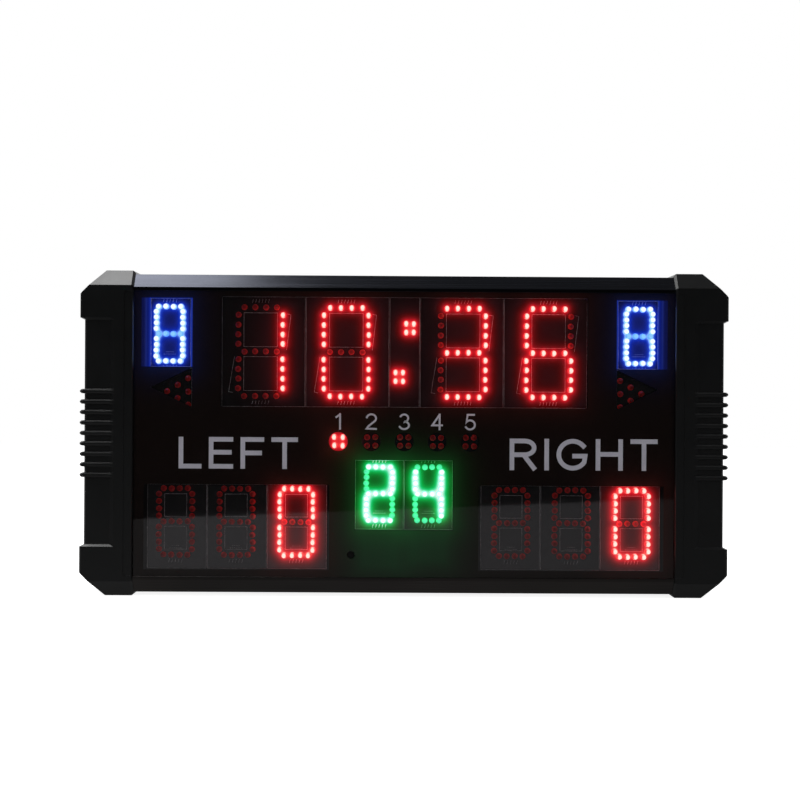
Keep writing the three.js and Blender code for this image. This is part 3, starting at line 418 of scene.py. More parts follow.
@dataclass(frozen=True)
class CastAcrylic(Finish):
    """Cast acrylic sheet, lightly smoked: clear gloss that mirrors the room and lets the lamps through."""

    tint: str
    roughness: float
    outer: bool
    ior: float = 1.49
    inner_mirror: float = 0.08
    wave_size: float = 70.0
    wave_depth: float = 0.04

    def surface(self, tree: Tree) -> Socket:
        """Builds the tinted sheet, whose inner face mirrors evenly and whose outer one more at a slant.

        Args:
            tree: node tree of the finish.

        Returns:
            The shader's output socket.
        """
        through = add_node(tree, "ShaderNodeBsdfTransparent", {"Color": linear(self.tint)})
        # Cast sheet is slightly wavy over some centimetres.
        wave = self.clouds(tree, self.wave_size, 0, 1, detail=1)
        bump = add_node(tree, "ShaderNodeBump", {
            "Strength": 0.3, "Distance": self.wave_depth * MM, "Height": wave,
        })
        gloss = add_node(tree, "ShaderNodeBsdfGlossy", {
            "Color": WHITE, "Roughness": self.roughness, "Normal": bump.outputs["Normal"],
        })
        share: float | Socket = self.inner_mirror
        if self.outer:
            share = add_node(tree, "ShaderNodeFresnel", {"IOR": self.ior}).outputs["Fac"]
        return add_node(tree, "ShaderNodeMixShader", {
            0: share, 1: through.outputs["BSDF"], 2: gloss.outputs["BSDF"],
        }).outputs["Shader"]


@dataclass(frozen=True)
class Halo:
    """Haze that lit lamps spread in the front sheet, round a box in metres."""

    middle: Point
    half: Point
    # Linear light at the box, and the millimetres over which it falls to a third.
    level: Point
    reach: float = 9.0


@dataclass(frozen=True)
class ScreenInk(Finish):
    """Screen printed ink on the back of the sheet, seen through it: dense, flat and a little uneven."""

    low_colour: str
    high_colour: str
    halos: tuple[Halo, ...] = ()
    mesh_size: float = 1.0

    def surface(self, tree: Tree) -> Socket:
        """Builds the ink with the faint texture of the printing mesh and the haze round the lit lamps.

        Args:
            tree: node tree of the finish.

        Returns:
            The shader's output socket.
        """
        # The mesh has openings of about 0.3 mm; it is drawn at 1 mm, so that the render can show it.
        mesh_mark = self.clouds(tree, self.mesh_size, 0, 1, detail=2)
        shader = add_node(tree, "ShaderNodeBsdfPrincipled", {
            "Base Color": self.between(tree, mesh_mark, self.low_colour, self.high_colour),
            "Roughness": 0.8, "IOR": 1.45, "Specular IOR Level": 0.0,
        })
        if self.halos:
            tree.links.new(self.haze(tree), shader.inputs["Emission Color"])
            shader.inputs["Emission Strength"].default_value = SHEET_LOSS
        return shader.outputs["BSDF"]

    def haze(self, tree: Tree) -> Socket:
        """Adds up the halos, each of which fades with the distance from its box of lamps.

        Args:
            tree: node tree of the finish.

        Returns:
            The socket with the linear light.
        """
        point = self.place(tree)
        nothing = (0.0, 0.0, 0.0)
        total: Point | Socket = nothing
        for halo in self.halos:
            outside = point
            for operation, other in (
                ("SUBTRACT", halo.middle), ("ABSOLUTE", nothing),
                ("SUBTRACT", halo.half), ("MAXIMUM", nothing),
            ):
                outside = add_node(tree, "ShaderNodeVectorMath", {
                    0: outside, 1: other,
                }, operation=operation).outputs["Vector"]
            away = add_node(tree, "ShaderNodeVectorMath", {0: outside}, operation="LENGTH")
            fall = add_node(tree, "ShaderNodeMath", {
                0: away.outputs["Value"], 1: -1 / (halo.reach * MM),
            }, operation="MULTIPLY")
            share = add_node(tree, "ShaderNodeMath", {0: fall.outputs["Value"]}, operation="EXPONENT")
            total = add_node(tree, "ShaderNodeVectorMath", {
                0: share.outputs["Value"], 1: halo.level, 2: total,
            }, operation="MULTIPLY_ADD").outputs["Vector"]
        return total


@dataclass(frozen=True)
class SpiltLight:
    """Light that lit lamps throw on what lies beside them, in colours for levels from 0 to `full`.

    Its near part fades within millimetres of a lamp and its far part within centimetres. The legend shows
    it stronger by `legend_gain`, a dim lamp gives `dim_share` of it, and `halo` is the linear level of its
    haze in the front sheet.
    """

    stops: Stops
    near_share: float
    near_reach: float
    far_share: float
    legend_gain: float
    halo: Point
    dim_share: float = 0.0
    far_reach: float = 12.0
    full: float = 1.4

    def amount(self, away: np.ndarray) -> np.ndarray:
        """Gives one lamp's light at distances in millimetres.

        Args:
            away: distances from the lamp's edge, less than zero within it.

        Returns:
            The share of full light at each.
        """
        out = np.maximum(away, 0)
        near = self.near_share * np.exp(-out / self.near_reach)
        return near + self.far_share * np.exp(-out / self.far_reach)

    def emission(self, tree: Tree, gain: float) -> Socket:
        """Gives the light's colour from the piece's "spill" values.

        Args:
            tree: node tree of the finish.
            gain: how much paler than the board the surface is.

        Returns:
            The socket with the colour.
        """
        spill = add_node(tree, "ShaderNodeAttribute", attribute_name="spill")
        amount = add_node(tree, "ShaderNodeMath", {
            0: spill.outputs["Fac"], 1: gain / self.full,
        }, operation="MULTIPLY")
        ramp = add_node(tree, "ShaderNodeValToRGB", {"Fac": amount.outputs["Value"]})
        dark: Stops = ((0.0, "#000000"),)
        colour_stops(ramp, dark + tuple((level / self.full, code) for level, code in self.stops))
        return ramp.outputs["Color"]


@dataclass(frozen=True)
class SolderMask(Finish):
    """Glass fibre board under a clear gloss over its solder mask, with the lamps' light spilt on it."""

    low_colour: str
    high_colour: str
    light: SpiltLight | None = None
    roughness: float = 0.28
    track_pitch: float = 3.2
    track_stretch: Point = (1, 1, 0.35)
    copper_depth: float = 0.035
    # Layers of mask, resin and copper mirror more than one face of resin does.
    coat_ior: float = 2.1

    def surface(self, tree: Tree) -> Socket:
        """Builds the mask with copper tracks raised under it and the spilt light.

        Args:
            tree: node tree of the finish.

        Returns:
            The shader's output socket.
        """
        # Cells with straight sides, drawn out upwards, stand for the runs of the tracks.
        tracks = add_node(tree, "ShaderNodeTexVoronoi", {
            "Vector": self.place(tree, self.track_stretch), "Scale": per_mm(self.track_pitch),
        }, distance="MANHATTAN", feature="F1")
        step = add_node(tree, "ShaderNodeMapRange", {
            "Value": tracks.outputs["Distance"], "From Min": 0.42, "From Max": 0.5,
        }).outputs["Result"]
        bump = add_node(tree, "ShaderNodeBump", {
            "Strength": 0.3, "Distance": self.copper_depth * MM, "Height": step,
        })
        shader = add_node(tree, "ShaderNodeBsdfPrincipled", {
            "Base Color": self.between(tree, step, self.low_colour, self.high_colour),
            "Roughness": self.roughness, "IOR": 1.5, "Normal": bump.outputs["Normal"],
            "Coat Weight": 1.0, "Coat Roughness": 0.04, "Coat IOR": self.coat_ior,
        })
        if self.light:
            tree.links.new(self.light.emission(tree, 1.0), shader.inputs["Emission Color"])
            shader.inputs["Emission Strength"].default_value = SHEET_LOSS
        return shader.outputs["BSDF"]


@dataclass(frozen=True)
class LegendInk(Finish):
    """White legend printed on a board: thin, matt, broken by the weave, and lit by the lamps."""

    light: SpiltLight
    worn_colour: str = "#6f6c6c"
    full_colour: str = "#b8b4b4"
    break_size: float = 1.1

    def surface(self, tree: Tree) -> Socket:
        """Builds the worn white line and the light on it.

        Args:
            tree: node tree of the finish.

        Returns:
            The shader's output socket.
        """
        # The printing mesh breaks the line about every millimetre.
        worn = self.clouds(tree, self.break_size, 0, 1, detail=2)
        return add_node(tree, "ShaderNodeBsdfPrincipled", {
            "Base Color": self.between(tree, worn, self.worn_colour, self.full_colour),
            "Roughness": 0.7, "IOR": 1.45,
            "Emission Color": self.light.emission(tree, self.light.legend_gain),
            "Emission Strength": SHEET_LOSS,
        }).outputs["BSDF"]


@dataclass(frozen=True)
class DarkLampEpoxy(Finish):
    """Cast epoxy body of an unlit diode: clear, dyed and glossy, darker at its heart where the cup sits."""

    rim_colour: str
    heart_colour: str
    light: SpiltLight
    gain: float = 1.8
    cup_size: float = 1.2
    cup_change: float = 0.12
    oval: Flat = (1.0, 1.0)

    def surface(self, tree: Tree) -> Socket:
        """Builds the dyed body with a polished dome, which catches a little of its neighbours' light.

        Args:
            tree: node tree of the finish.

        Returns:
            The shader's output socket.
        """
        core = add_node(tree, "ShaderNodeAttribute", attribute_name="core")
        speck = self.clouds(tree, self.cup_size, -self.cup_change, self.cup_change, detail=1)
        share = add_node(tree, "ShaderNodeMath", {
            0: core.outputs["Fac"], 1: speck,
        }, operation="ADD", use_clamp=True)
        return add_node(tree, "ShaderNodeBsdfPrincipled", {
            "Base Color": self.between(tree, share.outputs["Value"], self.rim_colour, self.heart_colour),
            "Roughness": 0.16, "IOR": 1.54,
            "Emission Color": self.light.emission(tree, self.gain), "Emission Strength": SHEET_LOSS,
        }).outputs["BSDF"]


@dataclass(frozen=True)
class LitLampEpoxy(Finish):
    """Cast epoxy body of a lit diode: its chip bleaches the heart, and the rim keeps the dye's hue."""

    rim_colour: str
    body_colour: str
    heart_colour: str
    body_place: float = 0.5
    heart_place: float = 0.8
    oval: Flat = (1.0, 1.0)

    def surface(self, tree: Tree) -> Socket:
        """Builds the glow from the rim to the heart.

        Args:
            tree: node tree of the finish.

        Returns:
            The shader's output socket.
        """
        core = add_node(tree, "ShaderNodeAttribute", attribute_name="core")
        ramp = add_node(tree, "ShaderNodeValToRGB", {"Fac": core.outputs["Fac"]})
        colour_stops(ramp, (
            (0.0, self.rim_colour),
            (self.body_place, self.body_colour),
            (self.heart_place, self.heart_colour),
        ))
        return add_node(tree, "ShaderNodeBsdfPrincipled", {
            "Base Color": linear(self.rim_colour), "Roughness": 0.16, "IOR": 1.54,
            "Emission Color": ramp.outputs["Color"], "Emission Strength": SHEET_LOSS,
        }).outputs["BSDF"]


@dataclass(frozen=True)
class CableJacket(Finish):
    """Extruded PVC jacket over one or more conductors: smooth and slightly waxy, with faint ridges."""

    low_colour: str
    high_colour: str
    rib: float
    rib_depth: float = 0.15

    def surface(self, tree: Tree) -> Socket:
        """Builds the conductors' ridges across the width, with painted shade in the grooves between them,
        and a waxy sheen.

        Args:
            tree: node tree of the finish.

        Returns:
            The shader's output socket.
        """
        # The wave node repeats after 2 pi / 20 of its unit, so a ridge is 2 pi times as wide as a rib.
        wave = add_node(tree, "ShaderNodeTexWave", {
            "Vector": self.place(tree), "Scale": per_mm(self.rib) / 20, "Distortion": 0.4,
        }, bands_direction="X")
        bump = add_node(tree, "ShaderNodeBump", {
            "Strength": 0.4, "Distance": self.rib_depth * MM, "Height": wave.outputs["Fac"],
        })
        # The colour follows the ridges' height, which paints shade into the grooves between the conductors.
        return add_node(tree, "ShaderNodeBsdfPrincipled", {
            "Base Color": self.between(tree, wave.outputs["Fac"], self.low_colour, self.high_colour),
            "Roughness": 0.48, "IOR": 1.53, "Normal": bump.outputs["Normal"],
        }).outputs["BSDF"]


@dataclass(frozen=True)
class StudioFloor(Finish):
    """Pale seamless paper: white to the eye, with a faint shadow round the object, and dim before it."""

    low_colour: str = "#bcbcbc"
    high_colour: str = "#b4b4b4"
    fibre_size: float = 2.5
    # Share of white that the shadow takes, and the radii in metres between which it fades.
    shadow_share: float = 0.12
    shadow_radii: Flat = (0.5, 1.1)
    # What a mirror sees of the paper's front, at its left and right end, and where it turns white.
    front_levels: Flat = (0.185, 0.12)
    front_sides: Flat = (-0.45, 0.45)
    front_depths: Flat = (0.05, 0.5)

    def surface(self, tree: Tree) -> Socket:
        """Builds a lit pale surface that shows white behind the object and dimmer before it.

        Args:
            tree: node tree of the finish.

        Returns:
            The shader's output socket.
        """
        path = add_node(tree, "ShaderNodeLightPath")
        point = add_node(tree, "ShaderNodeSeparateXYZ", {"Vector": self.place(tree)})
        seen = add_node(tree, "ShaderNodeMath", {
            0: path.outputs["Is Camera Ray"], 1: path.outputs["Is Transmission Ray"],
        }, operation="MAXIMUM")
        away = add_node(tree, "ShaderNodeVectorMath", {0: self.place(tree)}, operation="LENGTH")
        white = add_node(tree, "ShaderNodeMapRange", {
            "Value": away.outputs["Value"],
            "From Min": self.shadow_radii[0], "From Max": self.shadow_radii[1],
            "To Min": 1 - self.shadow_share, "To Max": 1.0,
        })
        strength = add_node(tree, "ShaderNodeMath", {
            0: seen.outputs["Value"], 1: white.outputs["Result"],
        }, operation="MULTIPLY")
        grain = self.clouds(tree, self.fibre_size, 0, 1)
        lit = add_node(tree, "ShaderNodeBsdfDiffuse", {
            "Color": self.between(tree, grain, self.low_colour, self.high_colour),
        })
        shine = add_node(tree, "ShaderNodeEmission", {"Strength": strength.outputs["Value"]})
        plain = add_node(tree, "ShaderNodeAddShader", {
            0: lit.outputs["BSDF"], 1: shine.outputs["Emission"],
        })
        front = add_node(tree, "ShaderNodeMapRange", {
            "Value": point.outputs["X"],
            "From Min": self.front_sides[0], "From Max": self.front_sides[1],
            "To Min": self.front_levels[0], "To Max": self.front_levels[1],
        })
        level = add_node(tree, "ShaderNodeMapRange", {
            "Value": point.outputs["Y"],
            "From Min": self.front_depths[0], "From Max": self.front_depths[1],
            "To Min": front.outputs["Result"], "To Max": 1.0,
        })
        mirrored = add_node(tree, "ShaderNodeEmission", {"Strength": level.outputs["Result"]})
        return add_node(tree, "ShaderNodeMixShader", {
            0: path.outputs["Is Glossy Ray"], 1: plain.outputs["Shader"], 2: mirrored.outputs["Emission"],
        }).outputs["Shader"]


ABS_BLACK = MouldedPlastic("abs_moulded_black", "#090a0b", "#0c0d0e", 0.32)
TRAY_ABS = LitTray("abs_moulded_tray", "#0c0c0e", "#101012", 0.55, grain=1.0)
NYLON_BLACK = MouldedPlastic("nylon_moulded_black", "#121214", "#17171a", 0.36, grain=0.5, flow_size=9.0)
EYE_EPOXY = MouldedPlastic(
    "epoxy_infrared_filter", "#030304", "#050405", 0.5, ior=1.4, grain=0.5, flow_size=6.0,
)
HORN_ABS = MouldedPlastic("abs_moulded_horn", "#101012", "#151517", 0.4, flow_size=15.0)
ANODISED_BLACK = AnodisedExtrusion("aluminium_extruded_black_anodised", "#36383e", "#41434b", 0.24)
# The lower bar has a paler, browner copy of the same anodised finish, which is painted light: it makes the
# lower bar show paler and warmer than the upper one.
ANODISED_PAINTED_LIGHT = AnodisedExtrusion("aluminium_extruded_black_anodised_painted_light", "#454241", "#514d4b", 0.24)
POWDER_BLACK = PowderCoat("steel_sheet_powder_coated", "#202124", "#292a2d", 0.5)
ZINC = PlatedSteel("steel_zinc_plated", "#a9adb1", "#c3c6c9", 0.3)
BLACK_OXIDE = PlatedSteel("steel_black_oxide", "#26272a", "#303135", 0.38)
ACRYLIC_FACE = CastAcrylic("acrylic_cast_smoked_face", "#e6e4e6", 0.015, outer=True)
ACRYLIC_BACK = CastAcrylic("acrylic_cast_smoked_back", "#f6f5f6", 0.02, outer=False)
GREY_INK = ScreenInk("ink_screen_printed_grey", "#eceef8", "#f6f8ff")
GREEN_BOARD = SolderMask("fibreglass_board_green_mask", "#12402a", "#1b5236")
JACKET_BLACK = CableJacket("pvc_extruded_jacket_black", "#161618", "#1e1e21", 2.0)
RIBBON_GREY = CableJacket("pvc_ribbon_grey", "#7d8086", "#95989e", 1.27)


class Draft:
    """Points and faces of one piece, gathered in millimetres and then built into an object."""

    def __init__(self, *finishes: Finish) -> None:
        """Starts an empty piece with its finishes, which faces name by number.

        Args:
            finishes: the piece's finishes.
        """
        self.finishes = finishes
        self.points: list[Point] = []
        self.faces: list[tuple[int, ...]] = []
        self.slots: list[int] = []
        self.smooth: list[bool] = []
        self.values: dict[str, dict[int, float]] = {}

    def point(self, x: float, y: float, z: float, **values: float) -> int:
        """Adds a point in millimetres.

        Args:
            x: place across.
            y: depth.
            z: height.
            values: values that the point carries, by attribute name.

        Returns:
            The point's number.
        """
        self.points.append((x, y, z))
        number = len(self.points) - 1
        for name, value in values.items():
            self.values.setdefault(name, {})[number] = value
        return number

    def face(self, corners: Sequence[int], slot: int = 0, smooth: bool = False) -> None:
        """Adds a face with its finish number.

        Args:
            corners: numbers of its points, in turn.
            slot: finish number.
            smooth: whether it is shaded smooth.
        """
        self.faces.append(tuple(corners))
        self.slots.append(slot)
        self.smooth.append(smooth)

    def turned(self, profile: Sequence[Flat], at: Flat, sides: int, cores: Sequence[float], spill: float,
               oval: Flat) -> None:
        """Adds a closed body turned about a line along Y.

        Args:
            profile: (radius, y) pairs, from the front end on the axis to the back end on the axis.
            at: x and z of the axis.
            sides: number of sides.
            cores: value of "core" for each profile point.
            spill: value of "spill" all over the body.
            oval: how fast "core" falls off across and upward, next to a round fall.
        """
        turn = [2 * math.pi * step / sides for step in range(sides)]
        rings = []
        for (radius, depth), core in zip(profile, cores):
            if radius == 0:
                rings.append([self.point(at[0], depth, at[1], core=core, spill=spill)] * sides)
                continue
            rings.append([
                self.point(
                    at[0] + radius * math.cos(a), depth, at[1] + radius * math.sin(a),
                    core=oval_core(core, a, oval), spill=spill,
                ) for a in turn
            ])
        for front, back in zip(rings, rings[1:]):
            for step in range(sides):
                after = (step + 1) % sides
                loop = [front[step], front[after], back[after], back[step]]
                corners = list(dict.fromkeys(loop))
                if len(corners) > 2:
                    self.face(corners, smooth=True)

    def plate(self, outline: Sequence[Flat], holes: Sequence[Sequence[Flat]], front: float, back: float,
              back_slot: int = 0) -> None:
        """Adds a closed flat plate with holes, seen along Y.

        Args:
            outline: outer corners in (x, z), counter-clockwise as seen from the front.
            holes: outlines of the holes.
            front: y of the front face.
            back: y of the back face.
            back_slot: finish number of all faces but the front one.
        """
        loops = [list(outline)] + [list(hole) for hole in holes]
        flat = [[Vector((x, z, 0)) for x, z in loop] for loop in loops]
        fronts = [[self.point(x, front, z) for x, z in loop] for loop in loops]
        backs = [[self.point(x, back, z) for x, z in loop] for loop in loops]
        front_list = [number for loop in fronts for number in loop]
        back_list = [number for loop in backs for number in loop]
        for a, b, c in tessellate_polygon(flat):
            self.face((front_list[a], front_list[b], front_list[c]))
            self.face((back_list[a], back_list[c], back_list[b]), back_slot)
        for near, far in zip(fronts, backs):
            for step in range(len(near)):
                after = (step + 1) % len(near)
                self.face((near[step], near[after], far[after], far[step]), back_slot)

    def band(self, path: Sequence[Flat], width: float, front: float, back: float, slot: int = 0,
             closed: bool = False, glow: Glow | None = None) -> None:
        """Adds an even stroke along a path, as a closed body with mitred turns and square ends.

        Args:
            path: (x, z) points of the stroke's middle line.
            width: width of the stroke.
            front: y of the front face.
            back: y of the back face.
            slot: finish number.
            closed: whether the path returns to its first point.
            glow: gives the light that lamps spill at (x, z), or None where none falls.
        """
        points = [Vector(p) for p in path]
        count = len(points)
        rings: list[list[int]] = []
        for step, point in enumerate(points):
            inwards = (point - points[step - 1] if step or closed else points[1] - point).normalized()
            onwards = inwards
            if step + 1 < count or closed:
                onwards = (points[(step + 1) % count] - point).normalized()
            along = (inwards + onwards).normalized()
            side = Vector((-along.y, along.x)) * (width / 2 / max(MITRE_LEAST, along.dot(inwards)))
            if not closed and step in (0, count - 1):
                point = point + along * (width / 2 if step else -width / 2)
            value = glow(point.x, point.y) if glow else 0.0
            left, right = point + side, point - side
            corners = ((left, front), (right, front), (right, back), (left, back))
            rings.append([self.point(at.x, depth, at.y, spill=value) for at, depth in corners])
        for near, far in zip(rings, rings[1:] + (rings[:1] if closed else [])):
            for corner in range(4):
                after = (corner + 1) % 4
                self.face((near[corner], near[after], far[after], far[corner]), slot)
        if not closed:
            self.face(rings[0], slot)
            self.face(rings[-1][::-1], slot)

    def build(self, name: str) -> bpy.types.Object:
        """Builds the object, with its faces turned outwards.

        Args:
            name: the piece's name.

        Returns:
            The new object, linked to the scene.
        """
        mesh = bpy.data.meshes.new(name)
        mesh.from_pydata([(x * MM, y * MM, z * MM) for x, y, z in self.points], [], self.faces)
        for finish in self.finishes:
            mesh.materials.append(finish.material())
        mesh.polygons.foreach_set("material_index", self.slots)
        mesh.polygons.foreach_set("use_smooth", self.smooth)
        for key, values in self.values.items():
            layer = mesh.attributes.new(key, "FLOAT", "POINT")
            layer.data.foreach_set("value", [values.get(number, 0.0) for number in range(len(self.points))])
        turned = bmesh.new()
        turned.from_mesh(mesh)
        bmesh.ops.recalc_face_normals(turned, faces=turned.faces)
        turned.to_mesh(mesh)
        turned.free()
        if any(self.smooth):
            mesh.set_sharp_from_angle(angle=math.radians(DRAFT_SHARP))
        return link(name, mesh)


def link(name: str, data: bpy.types.ID) -> bpy.types.Object:
    """Makes an object for the data and links it to the scene.

    Args:
        name: the object's name.
        data: its mesh, lamp or camera.

    Returns:
        The new object.
    """
    made = bpy.data.objects.new(name, data)
    bpy.context.scene.collection.objects.link(made)
    return made


def circle(at: Flat, radius: float, sides: int = 32) -> list[Flat]:
    """Gives a circle's points about (x, z), in millimetres."""
    turn = [2 * math.pi * step / sides for step in range(sides)]
    return [(at[0] + radius * math.cos(a), at[1] + radius * math.sin(a)) for a in turn]


def rectangle(left: float, right: float, low: float, high: float) -> list[Flat]:
    """Gives a rectangle's corners in (x, z)."""
    return [(left, low), (right, low), (right, high), (left, high)]


def oval_core(core: float, angle: float, oval: Flat) -> float:
    """Gives "core" at an angle on a dome whose glow is oval.

    Args:
        core: value all round a dome whose glow is round.
        angle: angle about the dome's axis, in radians from +x.
        oval: how fast the value falls off across and upward, next to a round fall.

    Returns:
        The value at that angle.
    """
    fall = math.hypot(oval[0] * math.cos(angle), oval[1] * math.sin(angle))
    return math.sqrt(max(0.0, 1 - (1 - core ** 2) * fall ** 2))


def row_of(count: int, pitch: float) -> list[float]:
    """Gives evenly spaced positions about zero."""
    return [(step - (count - 1) / 2) * pitch for step in range(count)]


@dataclass
class Span:
    """A CAD node's box in millimetres."""

    node: str
    low: Vector = field(init=False)
    high: Vector = field(init=False)

    def __post_init__(self) -> None:
        """Reads the box from the frame."""
        low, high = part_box(self.node)
        self.low, self.high = low / MM, high / MM

    @property
    def middle(self) -> Vector:
        """Middle of the box."""
        return (self.low + self.high) / 2


@dataclass
class SubAssembly:
    """A group of pieces that ride on one body."""

    body: str = "case"

    def settle(self, piece: bpy.types.Object, slot: str, *nodes: str) -> None:
        """Puts a finished piece on its body.

        Args:
            piece: the piece, in place.
            slot: the record's material slot; not used.
            nodes: CAD nodes that it stands for.
        """
        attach(piece, self.body)
        if nodes:
            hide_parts(*nodes)
        LOG.info("%s: %d faces", piece.name, len(piece.data.polygons))

    def dress(self, node: str, finish: Finish) -> None:
        """Gives a carried-over CAD node its finish.

        Args:
            node: the CAD node.
            finish: its finish.
        """
        mesh = NODES[node].data
        mesh.materials.clear()
        mesh.materials.append(finish.material())
        LOG.info("%s keeps its solid", node)

    def softened(self, node: str, finish: Finish, width: float, angle: float = 28.0) -> bpy.types.Object:
        """Copies a CAD node and rounds its sharp edges as the real making leaves them.

        Args:
            node: the CAD node.
            finish: finish of the copy.
            width: width of the rounding in millimetres.
            angle: least angle, in degrees, between faces whose shared edge is rounded.

        Returns:
            The rounded copy.
        """
        rounded = bmesh.new()
        rounded.from_mesh(NODES[node].data)
        bmesh.ops.remove_doubles(rounded, verts=rounded.verts, dist=WELD * MM)
        bmesh.ops.dissolve_limit(
            rounded, angle_limit=math.radians(ONE_PLANE), verts=rounded.verts, edges=rounded.edges,
        )
        edges = [
            edge for edge in rounded.edges
            if len(edge.link_faces) == 2
            and edge.calc_face_angle(0) > math.radians(angle) and edge.calc_length() > SHORTEST_EDGE * MM
        ]
        bmesh.ops.bevel(
            rounded, geom=edges, offset=width * MM, offset_type="OFFSET", segments=2, profile=0.5,
            affect="EDGES", clamp_overlap=True,
        )
        mesh = bpy.data.meshes.new(f"{node}_rounded")
        rounded.to_mesh(mesh)
        rounded.free()
        mesh.materials.append(finish.material())
        mesh.shade_smooth()
        mesh.set_sharp_from_angle(angle=math.radians(ROUNDED_SHARP))
        piece = link(f"{node}_rounded", mesh)
        even = piece.modifiers.new("even_shading", "WEIGHTED_NORMAL")
        even.keep_sharp = True
        return piece


@dataclass
class EndCaps(SubAssembly):
    """The two moulded end caps and the screws that hold them to the rails."""

    edge_round: float = 0.7
    screw_round: float = 0.25

    def build(self) -> None:
        """Builds the rounded caps and their screws."""
        for hand in ("left", "right"):
            node = f"end_cap_{hand}"
            self.settle(self.softened(node, ABS_BLACK, self.edge_round), "abs_black", node)
            for number in range(1, 5):
                screw = f"{hand}_cap_screw_{number}"
                self.settle(self.softened(screw, BLACK_OXIDE, self.screw_round), "black_steel", screw)


@dataclass
class FrameRails(SubAssembly):
    """Top and bottom aluminium rails."""

    edge_round: float = 0.45

    def build(self) -> None:
        """Builds the rails with their corners broken as the die leaves them."""
        # The bottom rail's paler, browner finish is painted light.
        for node, finish in (("top_rail", ANODISED_BLACK), ("bottom_rail", ANODISED_PAINTED_LIGHT)):
            self.settle(self.softened(node, finish, self.edge_round), "anodised_black", node)


class LampColour(Enum):
    """Colours of the diodes."""

    RED = "red"
    GREEN = "green"
    BLUE = "blue"


class LampState(Enum):
    """How a diode shows."""

    LIT = "lit"
    DIM = "dim"
    DARK = "dark"


Lamp = tuple[float, float, LampState]


@dataclass(frozen=True)
class LampFamily:
    """Finishes of one colour of diode, in each state that the modules show, and of the board under it."""

    light: SpiltLight
    board: SolderMask
    legend: LegendInk
    lamps: dict[LampState, LitLampEpoxy | DarkLampEpoxy]


RED_LIGHT = SpiltLight((
    (0.02, "#280608"), (0.05, "#3e0304"), (0.1, "#570505"), (0.3, "#8e1018"), (0.45, "#b4101a"),
    (0.72, "#dd1925"), (1.0, "#fb363a"), (1.35, "#ff6a62"),
), 0.9, 2.3, 0.011, 1.7, (0.018, 0.002, 0.0015))
GREEN_LIGHT = SpiltLight((
    (0.12, "#085f18"), (0.41, "#04ac41"), (0.65, "#16d371"), (0.8, "#4dea9e"), (1.0, "#98ffd4"),
    (1.3, "#eafff6"),
), 0.75, 2.6, 0.016, 3.0, (0.003, 0.06, 0.01), dim_share=0.1)
BLUE_LIGHT = SpiltLight((
    (0.1, "#0a1458"), (0.2, "#0f1f7e"), (0.39, "#0826a8"), (0.53, "#1336c1"), (0.65, "#2c56d2"),
    (0.8, "#6490f8"), (1.0, "#9cc8ff"), (1.3, "#e0f8ff"),
), 0.6, 1.9, 0.017, 2.2, (0.0, 0.004, 0.03), dim_share=1.0)
FAMILIES: dict[LampColour, LampFamily] = {
    LampColour.RED: LampFamily(
        RED_LIGHT,
        SolderMask("fibreglass_board_red_lamps", "#0a0708", "#110c0e", RED_LIGHT),
        LegendInk("ink_legend_red_boards", RED_LIGHT),
        {
            LampState.LIT: LitLampEpoxy(
                "epoxy_lamp_red_lit", "#e01a28", "#ff3c3a", "#fff4e2", 0.5, 0.84, (0.95, 0.72),
            ),
            LampState.DARK: DarkLampEpoxy("epoxy_lamp_red_unlit", "#f43630", "#7c1416", RED_LIGHT),
        },
    ),
    LampColour.GREEN: LampFamily(
        GREEN_LIGHT,
        SolderMask("fibreglass_board_green_lamps", "#060b08", "#0a120d", GREEN_LIGHT),
        LegendInk("ink_legend_green_boards", GREEN_LIGHT),
        {
            LampState.LIT: LitLampEpoxy("epoxy_lamp_green_lit", "#84ffc8", "#f0fff8", "#ffffff", 0.16, 0.4),
            LampState.DIM: LitLampEpoxy("epoxy_lamp_green_dim", "#34cc7e", "#46dc9a", "#54e8ac"),
        },
    ),
    LampColour.BLUE: LampFamily(
        BLUE_LIGHT,
        SolderMask("fibreglass_board_blue_lamps", "#07080c", "#0b0d14", BLUE_LIGHT),
        LegendInk("ink_legend_blue_boards", BLUE_LIGHT),
        {
            LampState.LIT: LitLampEpoxy("epoxy_lamp_blue_lit", "#86b4ff", "#dcf6ff", "#f6ffff", 0.2, 0.4),
            LampState.DIM: LitLampEpoxy("epoxy_lamp_blue_dim", "#5c98f8", "#72adff", "#88c4ff"),
        },
    ),
}


@dataclass(frozen=True)
class DigitSize:
    """A seven segment digit of single diodes, in millimetres.

    The digit sits `rise` above its board's middle. It stands off sideways by the share `spread` of the
    board's own place from the middle of the case, as the digits stand wider apart than their boards.
    """

    half_width: float
    half_height: float
    row_pitch: float
    column_pitch: float
    rise: float
    spread: float = 0.0
    per_segment: int = 4

    def lamps(self, board_middle: float, lit: str, dim: str = "") -> list[Lamp]:
        """Places the lamps.

        Args:
            board_middle: x of the board's middle.
            lit: letters of the lit segments, "a" at the top and on clockwise, "g" across the middle.
            dim: letters of the faintly lit segments.

        Returns:
            x, z from the board's middle, and the state of each lamp.
        """
        places = []
        for letter, height in (("d", -self.half_height), ("g", 0.0), ("a", self.half_height)):
            places += [(x, height + self.rise, letter) for x in row_of(self.per_segment, self.row_pitch)]
        for low, high, x in (("e", "f", -self.half_width), ("c", "b", self.half_width)):
            for letter, middle in ((low, -self.half_height / 2), (high, self.half_height / 2)):
                column = row_of(self.per_segment, self.column_pitch)
                places += [(x, middle + step + self.rise, letter) for step in column]
        states = dict.fromkeys(dim, LampState.DIM) | dict.fromkeys(lit, LampState.LIT)
        lean = self.spread * board_middle
        return [(x + lean, z, states.get(letter, LampState.DARK)) for x, z, letter in places]


